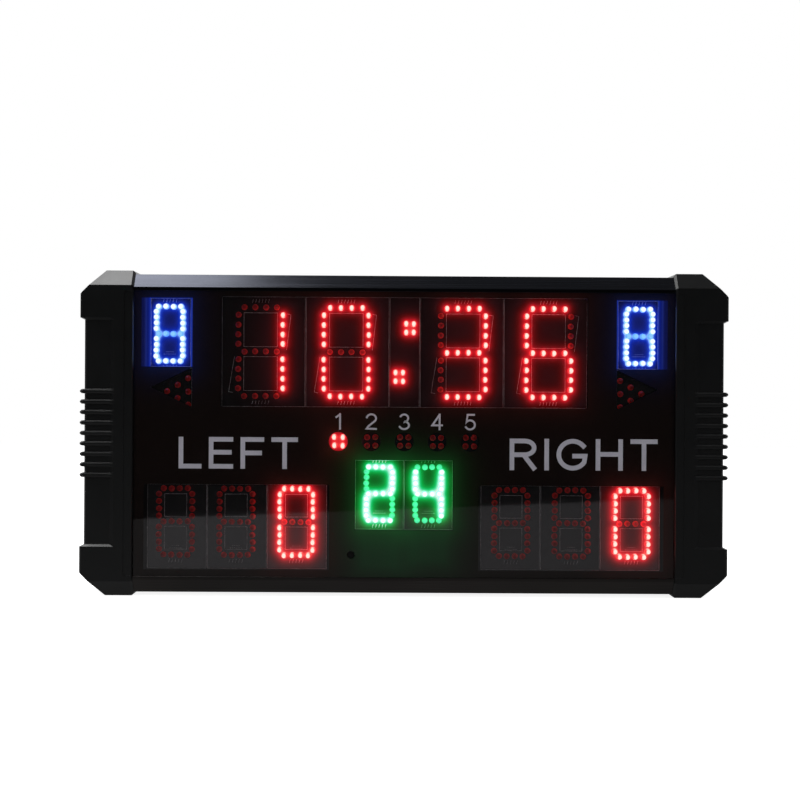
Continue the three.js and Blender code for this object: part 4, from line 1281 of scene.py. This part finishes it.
TIME_DIGIT = DigitSize(22.3, 44.4, 10.8, 9.7, 0.0, 0.021)
SCORE_DIGIT = DigitSize(16.6, 33.2, 8.0, 7.35, 4.7, 0.006)
SHOT_DIGIT = DigitSize(13.0, 26.6, 7.3, 5.6, 1.25)
FOUL_DIGIT = DigitSize(13.1, 27.2, 7.3, 5.8, -1.25, 0.004)
SEGMENTS = {"0": "abcdef", "1": "bc", "2": "abdeg", "3": "abcdg", "4": "bcfg", "6": "acdefg", " ": ""}


@dataclass(frozen=True)
class BoardLegend:
    """White lines printed on a module's board: a border and marks round its digit, in millimetres."""

    line_width: float = 0.35
    thickness: float = 0.03
    # A line has a point at least this often, for the light on it.
    light_step: float = 5.0
    border_inset: float = 0.4
    # Boxes in the digit's two halves keep this far from its segments and from its middle.
    segment_clear: float = 5.5
    middle_clear: float = 5.0
    # Rows of dashes over the foot of a smaller digit: height above the lowest segment and number.
    dash_rows: tuple[tuple[float, int], ...] = ((6.9, 6), (9.1, 4))
    dash_pitch: float = 2.2
    dash_half: float = 0.35
    # Bent lines beside a time digit, from its middle.
    bent_lines: tuple[tuple[Flat, ...], ...] = (
        ((26.4, 38.0), (30.2, 37.2), (26.0, 2.0)),
        ((-28.0, -41.0), (-31.8, -40.2), (-26.2, -5.0)),
    )
    # Rows of slanted marks above and below the digit: number and height beyond its segments.
    time_marks: tuple[int, float] = (6, 6.4)
    other_marks: tuple[int, float] = (5, 6.0)
    mark_pitch: float = 3.2
    mark_half: Flat = (0.4, 1.6)

    def draw(self, draft: Draft, span: Span, front: float, size: DigitSize | None, glow: Glow) -> None:
        """Adds the lines to a board's draft.

        Args:
            draft: the board's draft, whose second finish is the legend's.
            span: the module's box.
            front: y of the board's front face.
            size: the digit's size, or None for a module that isn't a digit.
            glow: gives the light that lamps spill at (x, z).
        """
        def stroke(corners: Sequence[Flat], closed: bool = False) -> None:
            """Prints a line through the corners, with enough points for the light on it.

            Args:
                corners: (x, z) points of the line.
                closed: whether it returns to its first point.
            """
            path: list[Flat] = []
            for start, end in zip(corners, list(corners[1:]) + (list(corners[:1]) if closed else [])):
                steps = max(1, math.ceil(math.dist(start, end) / self.light_step))
                path += [
                    (start[0] + (end[0] - start[0]) * n / steps, start[1] + (end[1] - start[1]) * n / steps)
                    for n in range(steps)
                ]
            path += [] if closed else [corners[-1]]
            draft.band(path, self.line_width, front - self.thickness, front, 1, closed, glow)

        edge = self.border_inset
        left, right = span.low.x + edge, span.high.x - edge
        stroke(rectangle(left, right, span.low.z + edge, span.high.z - edge), True)
        if not size:
            return
        x0, z0 = span.middle.x * (1 + size.spread), span.middle.z + size.rise
        inner = size.half_width - self.segment_clear
        outer = size.half_height - self.segment_clear
        if size in (TIME_DIGIT, SCORE_DIGIT):
            for low, high in ((self.middle_clear, outer), (-outer, -self.middle_clear)):
                stroke(rectangle(x0 - inner, x0 + inner, z0 + low, z0 + high), True)
        if size is TIME_DIGIT:
            for line in self.bent_lines:
                stroke([(x0 + x, z0 + z) for x, z in line])
        else:
            for rise, count in self.dash_rows:
                for step in row_of(count, self.dash_pitch):
                    at = (x0 + step, z0 - size.half_height + rise)
                    stroke([(at[0] - self.dash_half, at[1]), (at[0] + self.dash_half, at[1])])
        count, beyond = self.time_marks if size is TIME_DIGIT else self.other_marks
        across, up = self.mark_half
        for rise in (size.half_height + beyond, -size.half_height - beyond):
            for step in row_of(count, self.mark_pitch):
                stroke([(x0 + step - across, z0 + rise - up), (x0 + step + across, z0 + rise + up)])


@dataclass
class LampModules(SubAssembly):
    """The boards of diodes behind the front panel, in millimetres."""

    lamp_radius: float = 2.5
    lamp_height: float = 8.0
    dome_height: float = 2.5
    dome_steps: int = 5
    flange_radius: float = 2.95
    flange_thickness: float = 1.0
    sides: int = 16
    # A diode stands this far off its drilled place at most, each way.
    stray: float = 0.22
    board_thickness: float = 1.6
    # Pitch of the points on a board's front, which carry the light on it.
    grid: float = 0.9
    # The colon: from its middle to a group of four, and from the group's middle to a lamp.
    colon_group: Flat = (5.2, 24.5)
    colon_lamp: Flat = (3.7, 4.3)
    # The arrow: its tall column's place, the pitch across and up, and how far it sits below the middle.
    arrow_base: float = -17.1
    arrow_pitch: Flat = (10.6, 13.2)
    arrow_drop: float = 4.0
    # From the middle of a period's four lamps to a lamp, across and up.
    period_lamp: float = 4.2
    # The haze that a bright clock digit throws lower in the sheet.
    scatter_drop: float = 30.0
    scatter_half: float = 12.0
    scatter_reach: float = 13.0
    scatter_level: Point = (0.0005, 0.0105, 0.003)
    printed: BoardLegend = BoardLegend()
    halos: list[Halo] = field(default_factory=list)

    def build(self) -> None:
        """Builds every module as the photographed board shows it."""
        for number, shown in enumerate("1036", 1):
            self.digit(f"time_digit_{number}", TIME_DIGIT, LampColour.RED, shown)
        (group_x, group_z), (lamp_x, lamp_z) = self.colon_group, self.colon_lamp
        self.module("time_colon", LampColour.RED, [
            (side * group_x + x, side * group_z + z, LampState.LIT)
            for side in (-1, 1) for x in (-lamp_x, lamp_x) for z in (-lamp_z, lamp_z)
        ])
        across, up = self.arrow_pitch
        for hand, side in (("left", -1), ("right", 1)):
            for number, shown in enumerate("  0", 1):
                self.digit(f"{hand}_score_digit_{number}", SCORE_DIGIT, LampColour.RED, shown)
            self.digit(f"{hand}_foul_digit", FOUL_DIGIT, LampColour.BLUE, "0", "g")
            self.module(f"{hand}_possession_arrow", LampColour.RED, [
                (side * (self.arrow_base + column * across), z - self.arrow_drop, LampState.DARK)
                for column in (0, 1, 2) for z in row_of(3 - column, up)
            ])
        for number, shown in enumerate("24", 1):
            self.digit(f"shot_clock_digit_{number}", SHOT_DIGIT, LampColour.GREEN, shown, "abcdefg")
            self.halos.append(self.scatter(self.halos[-1]))
        square = (-self.period_lamp, self.period_lamp)
        self.module("period_strip", LampColour.RED, [
            (x + dx, dz, LampState.DARK if index else LampState.LIT)
            for index, x in enumerate(row_of(PERIOD_COUNT, PERIOD_PITCH)) for dx in square for dz in square
        ])

    def digit(self, node: str, size: DigitSize, colour: LampColour, shown: str, dim: str = "") -> None:
        """Builds a digit module that shows one numeral."""
        self.module(node, colour, size.lamps(Span(node).middle.x, SEGMENTS[shown], dim), size)

    def module(self, node: str, colour: LampColour, lamps: Sequence[Lamp],
               size: DigitSize | None = None) -> None:
        """Builds one module: its board with printed legend, and its diodes.

        Args:
            node: the CAD node that it stands for.
            colour: colour of the diodes.
            lamps: x, z from the board's middle and state of each diode.
            size: the digit's size, or None for a module that isn't a digit.
        """
        family = FAMILIES[colour]
        span = Span(node)
        front = span.high.y - self.board_thickness
        placed = self.strayed(node, span.middle, lamps)
        shares = {LampState.LIT: 1.0, LampState.DIM: family.light.dim_share, LampState.DARK: 0.0}
        glowing = [(x, z, shares[state]) for x, z, state in placed if shares[state]]
        lit = [(x, z) for x, z, state in placed if state is LampState.LIT]
        if lit:
            self.halos.append(self.halo(lit, family.light.halo))

        def glow(x: float, z: float) -> float:
            """Gives the light spilt at a place on the board."""
            return float(sum(
                share * family.light.amount(np.hypot(x - a, z - b) - self.lamp_radius)
                for a, b, share in glowing
            ))

        board = self.board(family, span, front, glowing)
        self.printed.draw(board, span, front, size, glow)
        self.settle(board.build(f"{node}_board"), f"{colour.value}_led_module", node)
        for state, finish in family.lamps.items():
            chosen = [(x, z) for x, z, kind in placed if kind is state]
            if not chosen:
                continue
            diodes = Draft(finish)
            for at in chosen:
                self.diode(diodes, at, front, glow(*at) if state is LampState.DARK else 0.0, finish.oval)
            self.settle(diodes.build(f"{node}_lamps_{state.value}"), f"{colour.value}_led_module")

    def strayed(self, node: str, middle: Vector, lamps: Sequence[Lamp]) -> list[Lamp]:
        """Places a module's diodes in the case, each a little off as hand soldering leaves it.

        Args:
            node: the module's node, whose name seeds the strays.
            middle: middle of the module.
            lamps: x, z from that middle and state of each diode.

        Returns:
            x, z in the case and state of each diode.
        """
        draw = random.Random(node)
        placed = []
        for x, z, state in lamps:
            aside = draw.uniform(-self.stray, self.stray)
            above = draw.uniform(-self.stray, self.stray)
            placed.append((middle.x + x + aside, middle.z + z + above, state))
        return placed

    def halo(self, lit: Sequence[Flat], level: Point) -> Halo:
        """Gives the haze round a module's lit lamps, which fills the sheet's whole thickness.

        Args:
            lit: x and z of each lit lamp.
            level: the haze's linear light at the lamps.

        Returns:
            The haze.
        """
        low = [min(at[axis] for at in lit) - self.lamp_radius for axis in (0, 1)]
        high = [max(at[axis] for at in lit) + self.lamp_radius for axis in (0, 1)]
        middle = ((low[0] + high[0]) / 2 * MM, 0.0, (low[1] + high[1]) / 2 * MM)
        return Halo(middle, ((high[0] - low[0]) / 2 * MM, 1.0, (high[1] - low[1]) / 2 * MM), level)

    def scatter(self, clock: Halo) -> Halo:
        """Gives the fainter haze that a bright clock digit spreads lower in the sheet."""
        low = clock.middle[2] - clock.half[2] - self.scatter_drop * MM
        return Halo(
            (clock.middle[0], 0.0, low), (clock.half[0], 1.0, self.scatter_half * MM),
            self.scatter_level, self.scatter_reach,
        )

    def diode(self, draft: Draft, at: Flat, front: float, spill: float, oval: Flat) -> None:
        """Adds one 5 mm diode: dome, body and flange.

        Args:
            draft: the draft that takes it.
            at: x and z of its axis.
            front: y of the board's front face.
            spill: light that its neighbours throw on it.
            oval: how fast its glow falls off across and upward.
        """
        tip = front - self.lamp_height
        shoulder = tip + self.dome_height
        profile, cores = [(0.0, tip)], [1.0]
        for step in range(1, self.dome_steps + 1):
            angle = math.pi / 2 * step / self.dome_steps
            radius = self.lamp_radius * math.sin(angle)
            profile.append((radius, shoulder - self.dome_height * math.cos(angle)))
            cores.append(math.cos(angle))
        foot = front - self.flange_thickness
        flange = self.flange_radius
        profile += [(self.lamp_radius, foot), (flange, foot), (flange, front), (0.0, front)]
        cores += [0.0] * 4
        draft.turned(profile, at, self.sides, cores, spill, oval)

    def board(self, family: LampFamily, span: Span, front: float, lit: Sequence[Point]) -> Draft:
        """Drafts a board whose front carries the light that its lit lamps spill on it.

        Args:
            family: finishes and spill of the lamp colour.
            span: the module's box.
            front: y of the board's front face.
            lit: x, z and share of full light of each lamp that glows.

        Returns:
            The draft, with the board's finish first and the legend's second.
        """
        draft = Draft(family.board, family.legend)
        across = round((span.high.x - span.low.x) / self.grid) if lit else 1
        up = round((span.high.z - span.low.z) / self.grid) if lit else 1
        xs = np.linspace(span.low.x, span.high.x, across + 1)
        zs = np.linspace(span.low.z, span.high.z, up + 1)
        spill = np.zeros((len(xs), len(zs)))
        for x, z, share in lit:
            away = np.hypot(xs[:, None] - x, zs[None, :] - z) - self.lamp_radius
            spill += share * family.light.amount(away)
        numbers = [[
            draft.point(float(x), front, float(z), spill=float(spill[i, j])) for j, z in enumerate(zs)
        ] for i, x in enumerate(xs)]
        for i in range(across):
            for j in range(up):
                draft.face((numbers[i][j], numbers[i + 1][j], numbers[i + 1][j + 1], numbers[i][j + 1]))
        rim = [numbers[i][0] for i in range(across)] + [numbers[across][j] for j in range(up)]
        rim += [numbers[i][up] for i in range(across, 0, -1)] + [numbers[0][j] for j in range(up, 0, -1)]
        behind = [draft.point(draft.points[n][0], span.high.y, draft.points[n][2]) for n in rim]
        for step in range(len(rim)):
            after = (step + 1) % len(rim)
            draft.face((rim[step], behind[step], behind[after], rim[after]))
        draft.face(behind)
        return draft


def arc(middle: Flat, radii: Flat, start: float, end: float, steps: int = 14) -> list[Flat]:
    """Gives points along an ellipse's arc, in shares of a letter's height, by degrees from +x."""
    turn = [math.radians(start + (end - start) * step / steps) for step in range(steps + 1)]
    return [(middle[0] + radii[0] * math.cos(a), middle[1] + radii[1] * math.sin(a)) for a in turn]


@dataclass(frozen=True)
class Glyph:
    """A plain letter or numeral: its width as a share of its height, and its strokes' middle lines."""

    width: float
    runs: tuple[Sequence[Flat], ...]


GLYPHS: dict[str, Glyph] = {
    "L": Glyph(0.5, ([(0, 1), (0, 0), (0.5, 0)],)),
    "E": Glyph(0.54, ([(0.54, 1), (0, 1), (0, 0), (0.54, 0)], [(0.1, 0.52), (0.5, 0.52)])),
    "F": Glyph(0.52, ([(0.52, 1), (0, 1), (0, 0)], [(0.1, 0.5), (0.46, 0.5)])),
    "T": Glyph(0.6, ([(0, 1), (0.6, 1)], [(0.3, 0.9), (0.3, 0)])),
    "R": Glyph(0.6, (
        [(0, 0), (0, 1)],
        [(0.05, 1)] + arc((0.34, 0.745), (0.25, 0.255), 90, -90) + [(0.05, 0.49)],
        [(0.33, 0.45), (0.58, 0)],
    )),
    "I": Glyph(0.0, ([(0, 0), (0, 1)],)),
    "G": Glyph(0.72, (arc((0.37, 0.5), (0.37, 0.5), 40, 326, 26) + [(0.7, 0.45), (0.42, 0.45)],)),
    "H": Glyph(0.6, ([(0, 0), (0, 1)], [(0.6, 0), (0.6, 1)], [(0.1, 0.52), (0.5, 0.52)])),
    "1": Glyph(0.24, ([(0.22, 0), (0.22, 1)], [(0.2, 0.96), (0, 0.8)])),
    "2": Glyph(0.56, (
        arc((0.28, 0.72), (0.28, 0.28), 165, -35, 16) + [(0.1, 0.18), (0, 0.02), (0.56, 0)],
    )),
    "3": Glyph(0.56, (
        arc((0.27, 0.745), (0.24, 0.255), 150, -80, 16) + arc((0.27, 0.26), (0.29, 0.26), 80, -155, 18),
    )),
    "4": Glyph(0.6, ([(0.44, 0), (0.44, 1)], [(0.42, 0.97), (0, 0.27), (0.58, 0.27)])),
    "5": Glyph(0.56, (
        [(0.5, 1), (0.12, 1), (0.05, 0.5)] + arc((0.27, 0.31), (0.29, 0.31), 130, -150, 18),
    )),
}


@dataclass
class FrontPanel(SubAssembly):
    """Smoked acrylic sheet, the black ink mask with its windows, and the printed words and numerals."""

    modules: LampModules = field(default_factory=LampModules)
    # A window runs this far past its modules' sides.
    score_margin: float = 2.4
    foul_inner_margin: float = 2.2
    foul_outer_margin: float = 8.0
    shot_margin: float = 0.3
    # Corners of the right arrow's window; the left one mirrors them.
    arrow_window: tuple[Flat, ...] = ((212.0, 188.8), (253.0, 208.5), (212.0, 228.4))
    period_radius: float = 9.5
    # The eye's hole: its place from the receiver's left end, and its radius.
    eye_offset: float = 12.6
    eye_radius: float = 3.85
    ink_thickness: float = 0.1
    # Letters lie between these two distances ahead of the mask, and each stroke a step before the last.
    letter_ahead: Flat = (0.01, 0.03)
    letter_step: float = 0.004
    # Space between letters, as a share of their height, before a word is fitted between its edges.
    letter_gap: float = 0.2
    left_heading: Flat = (-224.8, -106.0)
    right_heading: Flat = (105.3, 253.1)
    word_height: float = 31.5
    word_stroke: float = 4.6
    word_base: float = 127.6
    numeral_height: float = 16.5
    numeral_stroke: float = 1.9
    numeral_middle: float = 175.3

    def build(self) -> None:
        """Builds the sheet, its ink and its lettering."""
        sheet = Span("front_panel")
        eye = Span("infrared_receiver")
        outline = rectangle(sheet.low.x, sheet.high.x, sheet.low.z, sheet.high.z)
        hole = circle((eye.low.x + self.eye_offset, eye.middle.z), self.eye_radius)
        panel = Draft(ACRYLIC_FACE, ACRYLIC_BACK)
        panel.plate(outline, [hole], sheet.low.y, sheet.high.y, back_slot=1)
        self.settle(panel.build("acrylic_sheet"), "smoked_acrylic", "front_panel")
        depth = sheet.high.y - self.ink_thickness / 2
        halos = tuple(self.modules.halos)
        mask = Draft(ScreenInk("ink_screen_printed_black", "#1d1614", "#221a17", halos))
        mask.plate(outline, [hole] + self.windows(), depth, depth + self.ink_thickness)
        self.settle(mask.build("ink_mask"), "smoked_acrylic")
        self.word("left_heading", "LEFT", self.left_heading, depth)
        self.word("right_heading", "RIGHT", self.right_heading, depth)
        for number, x in enumerate(row_of(PERIOD_COUNT, PERIOD_PITCH), 1):
            self.numeral(f"period_numeral_{number}", str(number), x, depth)

    def windows(self) -> list[list[Flat]]:
        """Gives the outlines of the clear windows in the ink.

        Returns:
            One list of corners for each window.
        """
        found = []
        for first, last, left_margin, right_margin in (
            ("time_digit_1", "time_digit_4", 0.0, 0.0),
            ("left_score_digit_1", "left_score_digit_3", self.score_margin, self.score_margin),
            ("right_score_digit_1", "right_score_digit_3", self.score_margin, self.score_margin),
            ("shot_clock_digit_1", "shot_clock_digit_2", self.shot_margin, self.shot_margin),
            ("left_foul_digit", "left_foul_digit", self.foul_outer_margin, self.foul_inner_margin),
            ("right_foul_digit", "right_foul_digit", self.foul_inner_margin, self.foul_outer_margin),
        ):
            left, right = Span(first).low, Span(last).high
            found.append(rectangle(left.x - left_margin, right.x + right_margin, left.z, right.z))
        height = Span("period_strip").middle.z
        found += [circle((x, height), self.period_radius) for x in row_of(PERIOD_COUNT, PERIOD_PITCH)]
        found += [[(side * x, z) for x, z in self.arrow_window] for side in (-1, 1)]
        return found

    def lettering(self, name: str, text: str, edges: Flat, low: float, high: float, stroke: float,
                  depth: float) -> None:
        """Prints a plain word or numeral between two x positions.

        Args:
            name: the piece's name.
            text: what it says.
            edges: left and right edge.
            low: lower edge.
            high: upper edge.
            stroke: width of the strokes.
            depth: y of the mask's front.
        """
        widths = [GLYPHS[letter].width for letter in text]
        tall = high - low - stroke
        gaps = self.letter_gap * (len(text) - 1)
        share = (edges[1] - edges[0] - stroke * len(text)) / (sum(widths) + gaps)
        draft = Draft(GREY_INK)
        x = edges[0] + stroke / 2
        near, far = self.letter_ahead
        for letter, width in zip(text, widths):
            for layer, run in enumerate(GLYPHS[letter].runs):
                path = [(x + px * share, low + stroke / 2 + pz * tall) for px, pz in run]
                draft.band(path, stroke, depth - far - layer * self.letter_step, depth - near)
            x += (width + self.letter_gap) * share + stroke
        self.settle(draft.build(name), "smoked_acrylic")

    def word(self, name: str, text: str, edges: Flat, depth: float) -> None:
        """Prints a heading between two x positions."""
        high = self.word_base + self.word_height
        self.lettering(name, text, edges, self.word_base, high, self.word_stroke, depth)

    def numeral(self, name: str, text: str, x: float, depth: float) -> None:
        """Prints a period numeral about an x position.

        Args:
            name: the piece's name.
            text: the numeral.
            x: its middle.
            depth: y of the mask's front.
        """
        low = self.numeral_middle - self.numeral_height / 2
        half = GLYPHS[text].width * self.numeral_height * 0.5
        edges = (x - half - self.numeral_stroke / 2, x + half + self.numeral_stroke / 2)
        self.lettering(name, text, edges, low, low + self.numeral_height, self.numeral_stroke, depth)


@dataclass
class RearFittings(SubAssembly):
    """Back panel with its switch, power inlet and the remote control's eye."""

    def build(self) -> None:
        """Builds the pieces that show at the rear."""
        self.dress("back_panel", POWDER_BLACK)
        for node, finish, width in (
            ("dc_inlet", NYLON_BLACK, 0.2), ("switch_body", NYLON_BLACK, 0.3),
            ("infrared_receiver", EYE_EPOXY, 0.3),
        ):
            self.settle(self.softened(node, finish, width), "black_nylon", node)
        self.dress("dc_inlet_nut", ZINC)


@dataclass
class PowerRocker(SubAssembly):
    """The rocker of the power switch."""

    body: str = "rocker"
    edge_round: float = 0.3

    def build(self) -> None:
        """Builds the rounded rocker."""
        rocker = self.softened("switch_rocker", NYLON_BLACK, self.edge_round)
        self.settle(rocker, "black_nylon", "switch_rocker")


@dataclass
class HangingBrackets(SubAssembly):
    """One swivelling keyhole bracket; its screw and nut stay with the case."""

    hand: str = "left"
    plate_round: float = 0.2
    plate_angle: float = 40.0
    screw_round: float = 0.3

    def build(self) -> None:
        """Builds the stamped plate, its pivot screw and its nut."""
        plate = f"{self.hand}_hanger_bracket"
        self.settle(self.softened(plate, ZINC, self.plate_round, self.plate_angle), "zinc_steel", plate)
        fixed = SubAssembly("case")
        screw = f"{self.hand}_hanger_screw"
        fixed.settle(fixed.softened(screw, ZINC, self.screw_round), "zinc_steel", screw)
        fixed.dress(f"{self.hand}_hanger_nut", ZINC)


@dataclass
class InsideParts(SubAssembly):
    """What the closed case hides: tray, control board, horn, leads and ribbons."""

    def build(self) -> None:
        """Dresses the hidden pieces."""
        self.dress("module_tray", TRAY_ABS)
        self.dress("control_board", GREEN_BOARD)
        self.dress("horn", HORN_ABS)
        for number in range(1, 5):
            self.dress(f"control_board_screw_{number}", ZINC)
        for lead in ("inlet_lead", "switch_lead", "horn_lead", "infrared_lead"):
            self.dress(lead, JACKET_BLACK)
        for ribbon in ("time_ribbon", "left_score_ribbon", "right_score_ribbon"):
            self.dress(ribbon, RIBBON_GREY)


@dataclass
class Studio:
    """Pale table, soft lamps and the camera."""

    # The camera's lens and sensor and its place, in millimetres, and its turns in degrees.
    lens: float = 85.5
    sensor: float = 36.0
    stand: Point = (-20.0, -1933.0, 197.0)
    yaw: float = -0.47
    roll: float = 0.33
    # The table: x and y of the front edge's two bends, and its far and side edges, in metres.
    floor_edge: tuple[Flat, Flat] = ((-0.85, -0.95), (0.6, -2.0))
    floor_far: float = 6.0
    floor_side: float = 5.0
    # Light of the surround on matt faces, and what mirrors see of it: before, behind and above.
    ambient: float = 0.95
    before: float = 0.015
    behind: float = 1.0
    above: float = 0.12
    # Parts of a mirrored ray's direction, towards the rear and up, over which that changes.
    rear_turn: Flat = (0.35, 0.7)
    upward_turn: Flat = (0.3, 0.9)

    def build(self) -> None:
        """Builds the studio."""
        self.floor()
        self.world()
        self.lamps()
        self.camera()

    def floor(self) -> None:
        """Lays the pale table that the board stands on."""
        mesh = bpy.data.meshes.new("studio_floor")
        (left, near_left), (right, near_right) = self.floor_edge
        far, wide = self.floor_far, self.floor_side
        outline = [
            (-wide, near_left), (left, near_left), (right, near_right), (wide, near_right),
            (wide, far), (-wide, far),
        ]
        mesh.from_pydata([(x, y, 0.0) for x, y in outline], [], [tuple(range(len(outline)))])
        mesh.materials.append(StudioFloor("paper_seamless_pale").material())
        link("studio_floor", mesh)

    def world(self) -> None:
        """Sets a white surround for the eye, dark in front of the board for its reflections."""
        world = bpy.data.worlds.new("studio_surround")
        bpy.context.scene.world = world
        world.use_nodes = True
        tree = world.node_tree
        tree.nodes.clear()
        path = add_node(tree, "ShaderNodeLightPath")
        coordinates = add_node(tree, "ShaderNodeTexCoord")
        heading = add_node(tree, "ShaderNodeSeparateXYZ", {"Vector": coordinates.outputs["Generated"]})
        behind = add_node(tree, "ShaderNodeMapRange", {
            "Value": heading.outputs["Y"],
            "From Min": self.rear_turn[0], "From Max": self.rear_turn[1],
            "To Min": self.before, "To Max": self.behind,
        })
        above = add_node(tree, "ShaderNodeMapRange", {
            "Value": heading.outputs["Z"],
            "From Min": self.upward_turn[0], "From Max": self.upward_turn[1],
            "To Min": 0.0, "To Max": self.above,
        })
        around = add_node(tree, "ShaderNodeMath", {
            0: behind.outputs["Result"], 1: above.outputs["Result"],
        }, operation="MAXIMUM")
        mirrored = add_node(tree, "ShaderNodeMath", {
            0: path.outputs["Is Glossy Ray"], 1: around.outputs["Value"],
        }, operation="MULTIPLY")
        ambient = add_node(tree, "ShaderNodeMath", {
            0: path.outputs["Is Diffuse Ray"], 1: self.ambient,
        }, operation="MULTIPLY")
        strength = path.outputs["Is Camera Ray"]
        for other in (
            path.outputs["Is Transmission Ray"], mirrored.outputs["Value"], ambient.outputs["Value"],
        ):
            strength = add_node(tree, "ShaderNodeMath", {
                0: strength, 1: other,
            }, operation="MAXIMUM").outputs["Value"]
        sky = add_node(tree, "ShaderNodeBackground", {"Color": WHITE, "Strength": strength})
        add_node(tree, "ShaderNodeOutputWorld", {"Surface": sky.outputs["Background"]})

    def lamp(self, name: str, at: Point, aim: Point, size: Flat, power: float) -> None:
        """Hangs a soft box.

        Args:
            name: the lamp's name.
            at: its place in metres.
            aim: point that it faces, in metres.
            size: width and height in metres.
            power: watts.
        """
        data = bpy.data.lights.new(name, "AREA")
        data.shape = "RECTANGLE"
        data.size, data.size_y = size
        data.energy = power
        box = link(name, data)
        box.location = at
        box.rotation_euler = (Vector(aim) - Vector(at)).to_track_quat("-Z", "Y").to_euler()

    def lamps(self) -> None:
        """Hangs one soft box over the left half and two keys at the sides."""
        self.lamp("box_over_left", (-0.62, 0.0, 1.12), (-0.62, 0.0, 0.0), (0.8, 0.7), 10)
        self.lamp("key_left", (-1.9, -1.7, 2.6), (0, 0, 0.2), (1.0, 1.0), 7)
        self.lamp("key_right", (2.0, -1.7, 2.6), (0, 0, 0.2), (1.0, 1.0), 6)

    def camera(self) -> None:
        """Sets the camera where the photograph was taken."""
        data = bpy.data.cameras.new("photograph")
        data.lens, data.sensor_width, data.sensor_fit = self.lens, self.sensor, "AUTO"
        data.clip_start, data.clip_end = 0.05, 60.0
        camera = link("photograph", data)
        turn = Matrix.Rotation(math.radians(self.yaw), 4, "Z") @ Matrix.Rotation(math.pi / 2, 4, "X")
        roll = Matrix.Rotation(math.radians(self.roll), 4, "Z")
        camera.matrix_world = Matrix.Translation(Vector(self.stand) * MM) @ turn @ roll
        bpy.context.scene.camera = camera


def main() -> None:
    """Builds the sub-assemblies in order."""
    logging.basicConfig(level=logging.INFO, format="%(message)s")
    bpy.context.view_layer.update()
    Studio().build()
    modules = LampModules()
    for part in (
        EndCaps(), FrameRails(), modules, FrontPanel(modules=modules), RearFittings(), PowerRocker(),
        HangingBrackets("left_bracket", "left"), HangingBrackets("right_bracket", "right"), InsideParts(),
    ):
        LOG.info("building %s", type(part).__name__)
        part.build()
    bpy.context.scene.view_settings.view_transform = "Standard"


if __name__ == "__main__":
    main()
